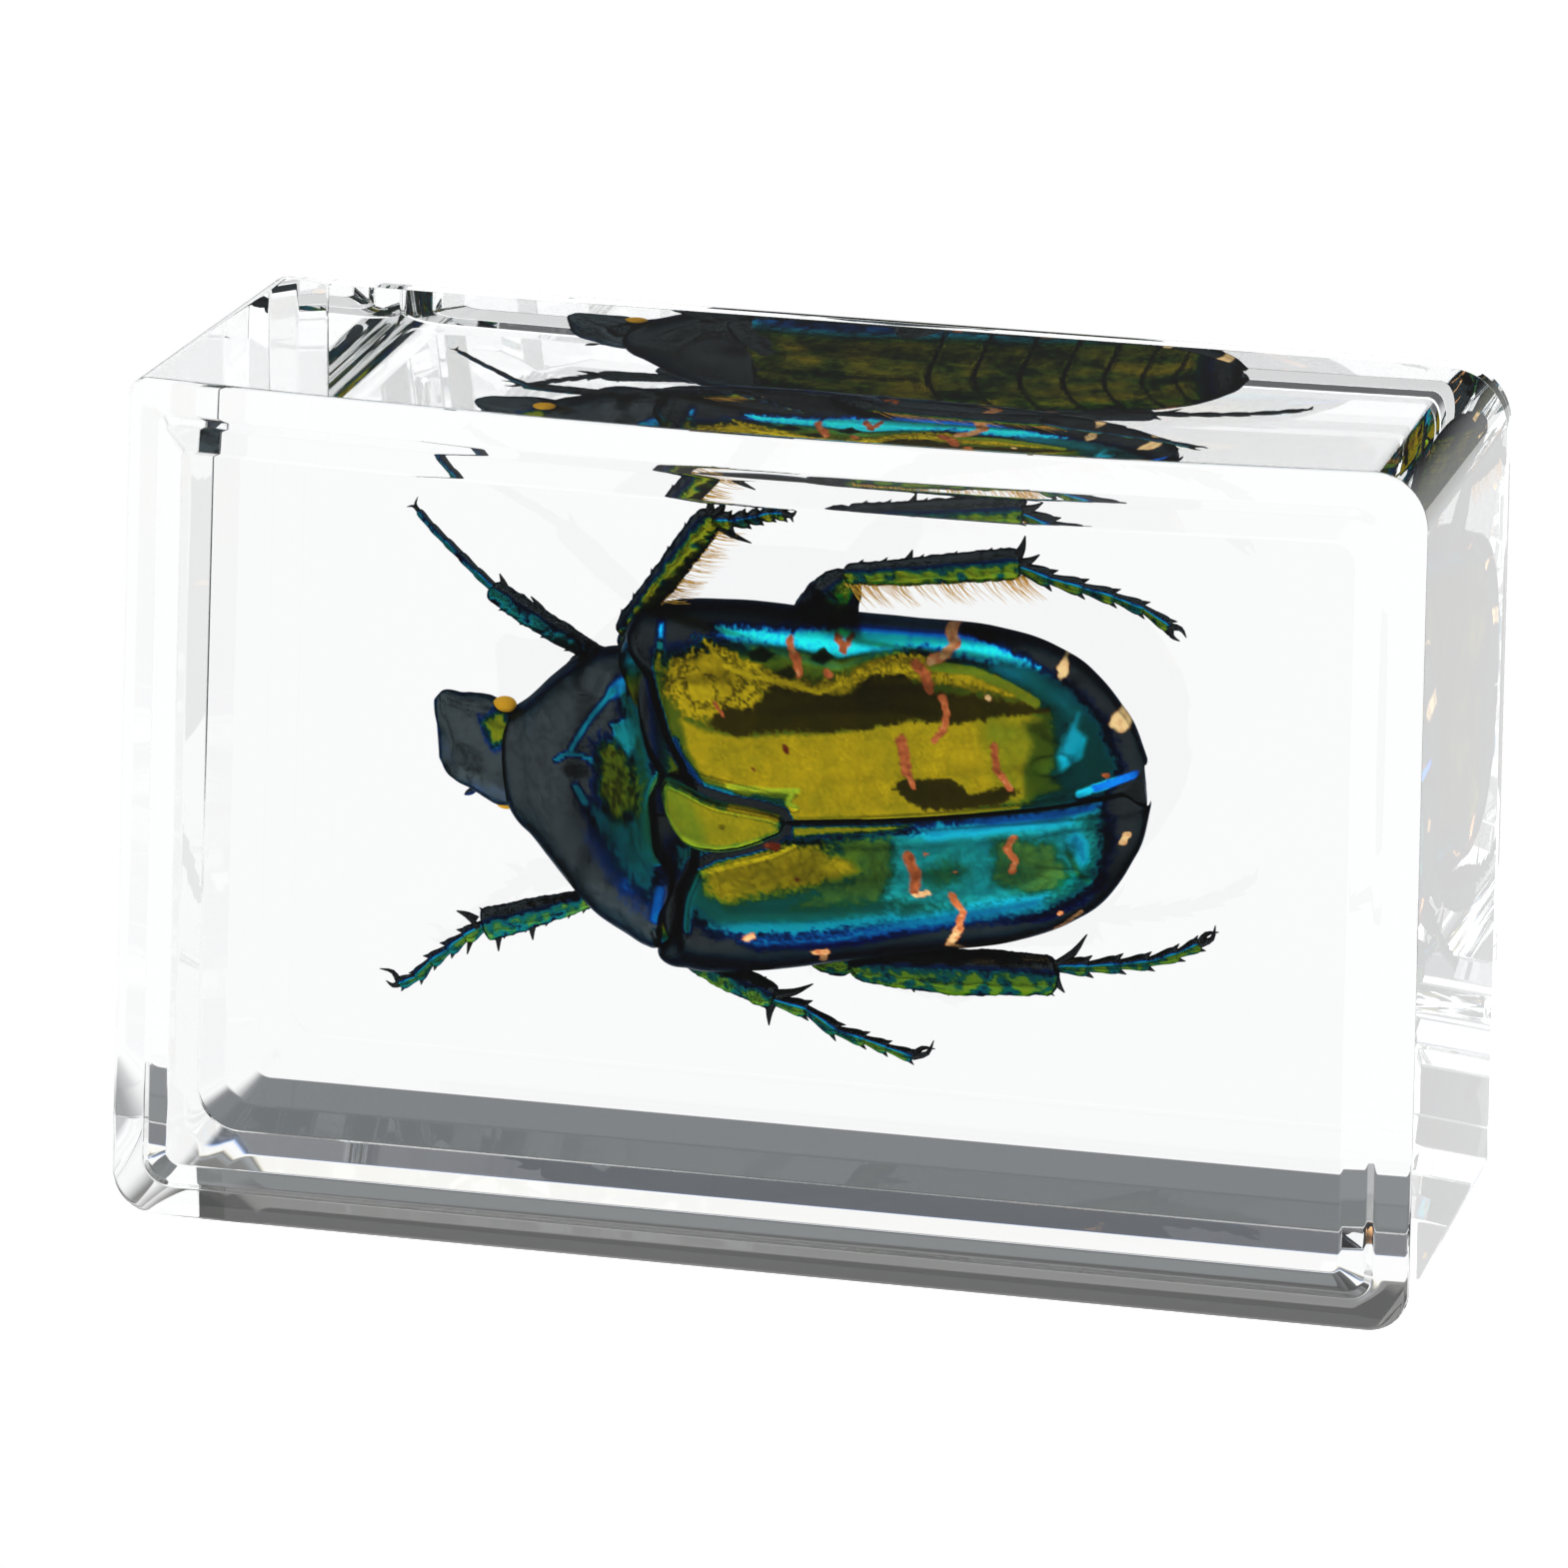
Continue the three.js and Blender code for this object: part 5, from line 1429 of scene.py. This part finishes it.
def add_spine(skin, base, tip, width, bend=0.0):
    """A pointed dark spine, bowed across the view by a share of its length."""
    base, tip = np.array(base, float), np.array(tip, float)
    middle = (base + tip) / 2 + np.cross(tip - base, TO_VIEWER) * bend
    widths = [width, width * 0.62, width * 0.12]
    add_thread(skin, [base, middle, tip], widths, rings=9, around=8, hue=0.0, light=0.6)


JOINT_STEPS = (-0.16, 0.3, 0.75, 1.06)  # shares of a foot joint at which its width is given
JOINT_SWELL, PLAIN_JOINT_SWELL = (0.55, 0.72, 1.0, 0.95), (0.9, 0.9, 1.0, 0.9)
JOINT_TAPER = 0.06  # how much narrower each joint is than the one before it
TOOTH_WIDTH, CLAW_WIDTH, CLAW_BEND = 0.4, 0.42, 0.22


def add_foot(skin, leg):
    """Five joints, each narrow at its root and toothed at its end, then a pair of claws."""
    width = leg["foot_width"]
    foot = np.array(leg["foot"], float)
    plain = leg.get("plain_foot", False)
    for k, (start, end) in enumerate(zip(foot[:-1], foot[1:])):
        step = end - start
        wide = width * (1.0 - JOINT_TAPER * k)
        swell = PLAIN_JOINT_SWELL if plain else JOINT_SWELL
        add_limb(skin, [start + step * t for t in JOINT_STEPS], [wide * share for share in swell],
                 rings=14, blunt=9.0, hue=leg["hue"], light=leg["light"])
        if plain:
            continue
        side = aside_from(step)
        for way in (-1, 1):
            base = end - step * 0.16 + side * way * wide * 0.5
            tip = end + step * 0.14 + side * way * wide * 1.12
            add_spine(skin, base, tip, wide * TOOTH_WIDTH)
    near = foot[-1] + (foot[-1] - foot[-2]) * 0.02
    for bend, claw in zip((CLAW_BEND, -CLAW_BEND), leg["claws"]):
        tip = near + (np.array(claw, float) - near) * 0.92
        add_spine(skin, near, tip, width * CLAW_WIDTH, bend)


THIGH = {"depth": 0.72, "blunt": 12.0}
SHIN = {"depth": 0.8, "blunt": 24.0}
THIGH_SHADE, SHIN_SHADE = 0.8, 1.15  # the painted highlight on the shin is brighter than on the thigh
LIMB_GRAIN = 0.05
SHIN_SPINES = np.linspace(0.2, 0.85, 6)
SHIN_SPINE_WIDTH, SPIKE_WIDTH, SPIKE_BEND = 0.08, 0.2, 0.06


def leg_piece(leg, material):
    """A thigh, a shin with its short and long spines, and a foot."""
    skin = Skin()
    thigh, shin = (np.array(limb, float) for limb in leg["limbs"])
    for limb, form, shade in ((thigh, THIGH, THIGH_SHADE), (shin, SHIN, SHIN_SHADE)):
        add_limb(skin, limb[:, :3], limb[:, 3], rings=90, around=48, grain=LIMB_GRAIN,
                 hue=leg["hue"], light=leg["light"] * shade, **form)
    path, _ = smooth_path(shin, 101)
    step = (shin[-1] - shin[0])[:3]
    for t in SHIN_SPINES:
        place = path[int(100 * t)]
        side = aside_from(step) * (1 if int(t * 100) % 2 else -1)
        base = place[:3] + side * place[3] * 0.8
        add_spine(skin, base, base + side * 0.17 + step * 0.03, SHIN_SPINE_WIDTH)
    for base, tip in leg["spikes"]:
        add_spine(skin, base, tip, SPIKE_WIDTH, SPIKE_BEND)
    add_foot(skin, leg)
    return skin.make(leg["name"], material)


# ---- Hairs ----

HAIR_FRINGES = [  # leg, first and last share of the shin, which side, longest hair, count
    ("leg_middle_upper", 0.25, 0.85, 1, 0.95, 110),
    ("leg_hind_upper", 0.08, 0.97, 1, 0.95, 130),
    ("leg_hind_upper", 0.05, 0.97, 1, 0.2, 160),
    ("leg_middle_upper", 0.1, 0.9, 1, 0.2, 110),
]


HAIR_WIDTHS = [0.016, 0.012, 0.004]  # at its root, middle and tip


def hair_piece(settings):
    """Every hair of the shins' fringes, as one piece of fine tubes."""
    chance = np.random.default_rng(7)
    skin = Skin()
    for name, first, last, way, longest, count in HAIR_FRINGES:
        leg = next(leg for leg in LEGS if leg["name"] == name)
        path, _ = smooth_path(leg["limbs"][1], 101)
        step = path[-1, :3] - path[0, :3]
        step /= np.linalg.norm(step)
        side = aside_from(step) * way
        for _ in range(count):
            place = path[int(100 * chance.uniform(first, last))]
            base = place[:3] + side * place[3] * 0.8 + TO_VIEWER * chance.uniform(-0.2, 0.2)
            length = longest * chance.uniform(0.45, 1.0)
            lean = step * chance.uniform(0.5, 1.0) + TO_VIEWER * chance.uniform(-0.3, 0.3)
            tip = base + (side + lean) * length
            middle = (base + tip) / 2 - step * 0.08 * length
            add_thread(skin, [base, middle, tip], HAIR_WIDTHS, rings=5, around=3)
    return skin.make("leg_hairs", hair_material(settings))


# ---- The beetle's operators ----

def keep_on_beetle(piece):
    """Ties a finished piece to the part, in place of the plain beetle."""
    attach(piece, "root")
    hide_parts("beetle")


def shell_of(context):
    """The one shell material that the beetle's hard parts share."""
    return bpy.data.materials.get("beetle_shell") or shell_material(context.scene.specimen_beetle)


class BeetleSettings(bpy.types.PropertyGroup):
    roughness: bpy.props.FloatProperty(
        name="Roughness", description="How dull the metal sheen of the shell is",
        default=0.26, min=0, max=1)
    metallic: bpy.props.FloatProperty(
        name="Metal", description="How much of the shell's sheen is metal", default=1.0, min=0, max=1)
    grain: bpy.props.FloatProperty(
        name="Grain", description="Depth of the shell's fine pits", default=0.02 * MM, unit="LENGTH")
    eye_colour: bpy.props.FloatVectorProperty(
        name="Eye colour", description="Colour of both eyes", size=4, subtype="COLOR",
        default=paint(255, 190, 40), min=0, max=1)
    hair_colour: bpy.props.FloatVectorProperty(
        name="Hair colour", description="Colour of the hairs on the shins", size=4, subtype="COLOR",
        default=paint(255, 200, 70), min=0, max=1)


class SPECIMEN_OT_wing_cases(bpy.types.Operator):
    """Lay the two painted wing cases over the hind body"""
    bl_idname = "specimen.wing_cases"
    bl_label = "Wing cases"

    def execute(self, context):
        shell = shell_of(context)
        keep_on_beetle(wing_case("wing_case_upper", 1, UPPER_CASE_PAINT, UPPER_CASE_LINES,
                                 UPPER_CASE_MOTTLES, UPPER_CASE_MARKS, shell, 3))
        keep_on_beetle(wing_case("wing_case_lower", -1, LOWER_CASE_PAINT, LOWER_CASE_LINES,
                                 LOWER_CASE_MOTTLES, LOWER_CASE_MARKS, shell, 13))
        return {"FINISHED"}


class SPECIMEN_OT_fore_body(bpy.types.Operator):
    """Make the pronotum, and the scutellum behind it"""
    bl_idname = "specimen.fore_body"
    bl_label = "Pronotum and scutellum"

    def execute(self, context):
        shell = shell_of(context)
        keep_on_beetle(pronotum_piece(shell))
        keep_on_beetle(scutellum_piece(shell))
        return {"FINISHED"}


class SPECIMEN_OT_head(bpy.types.Operator):
    """Make the head with its two eyes and clubbed feelers"""
    bl_idname = "specimen.head"
    bl_label = "Head"

    def execute(self, context):
        keep_on_beetle(head_piece(shell_of(context)))
        amber = eye_material(context.scene.specimen_beetle)
        for name, centre, size in EYES:
            points, faces = ball(centre, size)
            keep_on_beetle(Skin().add(in_block(points), faces).make(name, amber))
        return {"FINISHED"}


class SPECIMEN_OT_underside(bpy.types.Operator):
    """Make the jointed belly and the chest"""
    bl_idname = "specimen.underside"
    bl_label = "Underside"

    def execute(self, context):
        keep_on_beetle(underside_piece(shell_of(context)))
        return {"FINISHED"}


class SPECIMEN_OT_legs(bpy.types.Operator):
    """Make the six legs with their spurs, five-jointed feet and claws"""
    bl_idname = "specimen.legs"
    bl_label = "Legs"

    def execute(self, context):
        for leg in LEGS:
            keep_on_beetle(leg_piece(leg, shell_of(context)))
        return {"FINISHED"}


class SPECIMEN_OT_hairs(bpy.types.Operator):
    """Fringe the shins with amber hairs"""
    bl_idname = "specimen.hairs"
    bl_label = "Leg hairs"

    def execute(self, context):
        keep_on_beetle(hair_piece(context.scene.specimen_beetle))
        return {"FINISHED"}


OPERATORS = [
    SPECIMEN_OT_stage, SPECIMEN_OT_resin, SPECIMEN_OT_wing_cases, SPECIMEN_OT_fore_body, SPECIMEN_OT_head,
    SPECIMEN_OT_underside, SPECIMEN_OT_legs, SPECIMEN_OT_hairs,
]


class SPECIMEN_PT_panel(bpy.types.Panel):
    bl_label = "Beetle in Resin"
    bl_idname = "SPECIMEN_PT_panel"
    bl_space_type = "VIEW_3D"
    bl_region_type = "UI"
    bl_category = "Specimen"

    def draw(self, context):
        for operator in OPERATORS:
            self.layout.operator(operator.bl_idname)
        scene = context.scene
        for group in (scene.specimen_resin, scene.specimen_beetle, scene.specimen_stage):
            box = self.layout.box()
            for name in group.__annotations__:
                box.prop(group, name)


CLASSES = [ResinSettings, BeetleSettings, StageSettings, *OPERATORS, SPECIMEN_PT_panel]


def register():
    for cls in CLASSES:
        bpy.utils.register_class(cls)
    bpy.types.Scene.specimen_resin = bpy.props.PointerProperty(type=ResinSettings)
    bpy.types.Scene.specimen_beetle = bpy.props.PointerProperty(type=BeetleSettings)
    bpy.types.Scene.specimen_stage = bpy.props.PointerProperty(type=StageSettings)


def unregister():
    del bpy.types.Scene.specimen_stage
    del bpy.types.Scene.specimen_beetle
    del bpy.types.Scene.specimen_resin
    for cls in reversed(CLASSES):
        bpy.utils.unregister_class(cls)


def main():
    register()
    for operator in OPERATORS:
        group, name = operator.bl_idname.split(".")
        getattr(getattr(bpy.ops, group), name)()


if __name__ == "__main__":
    main()
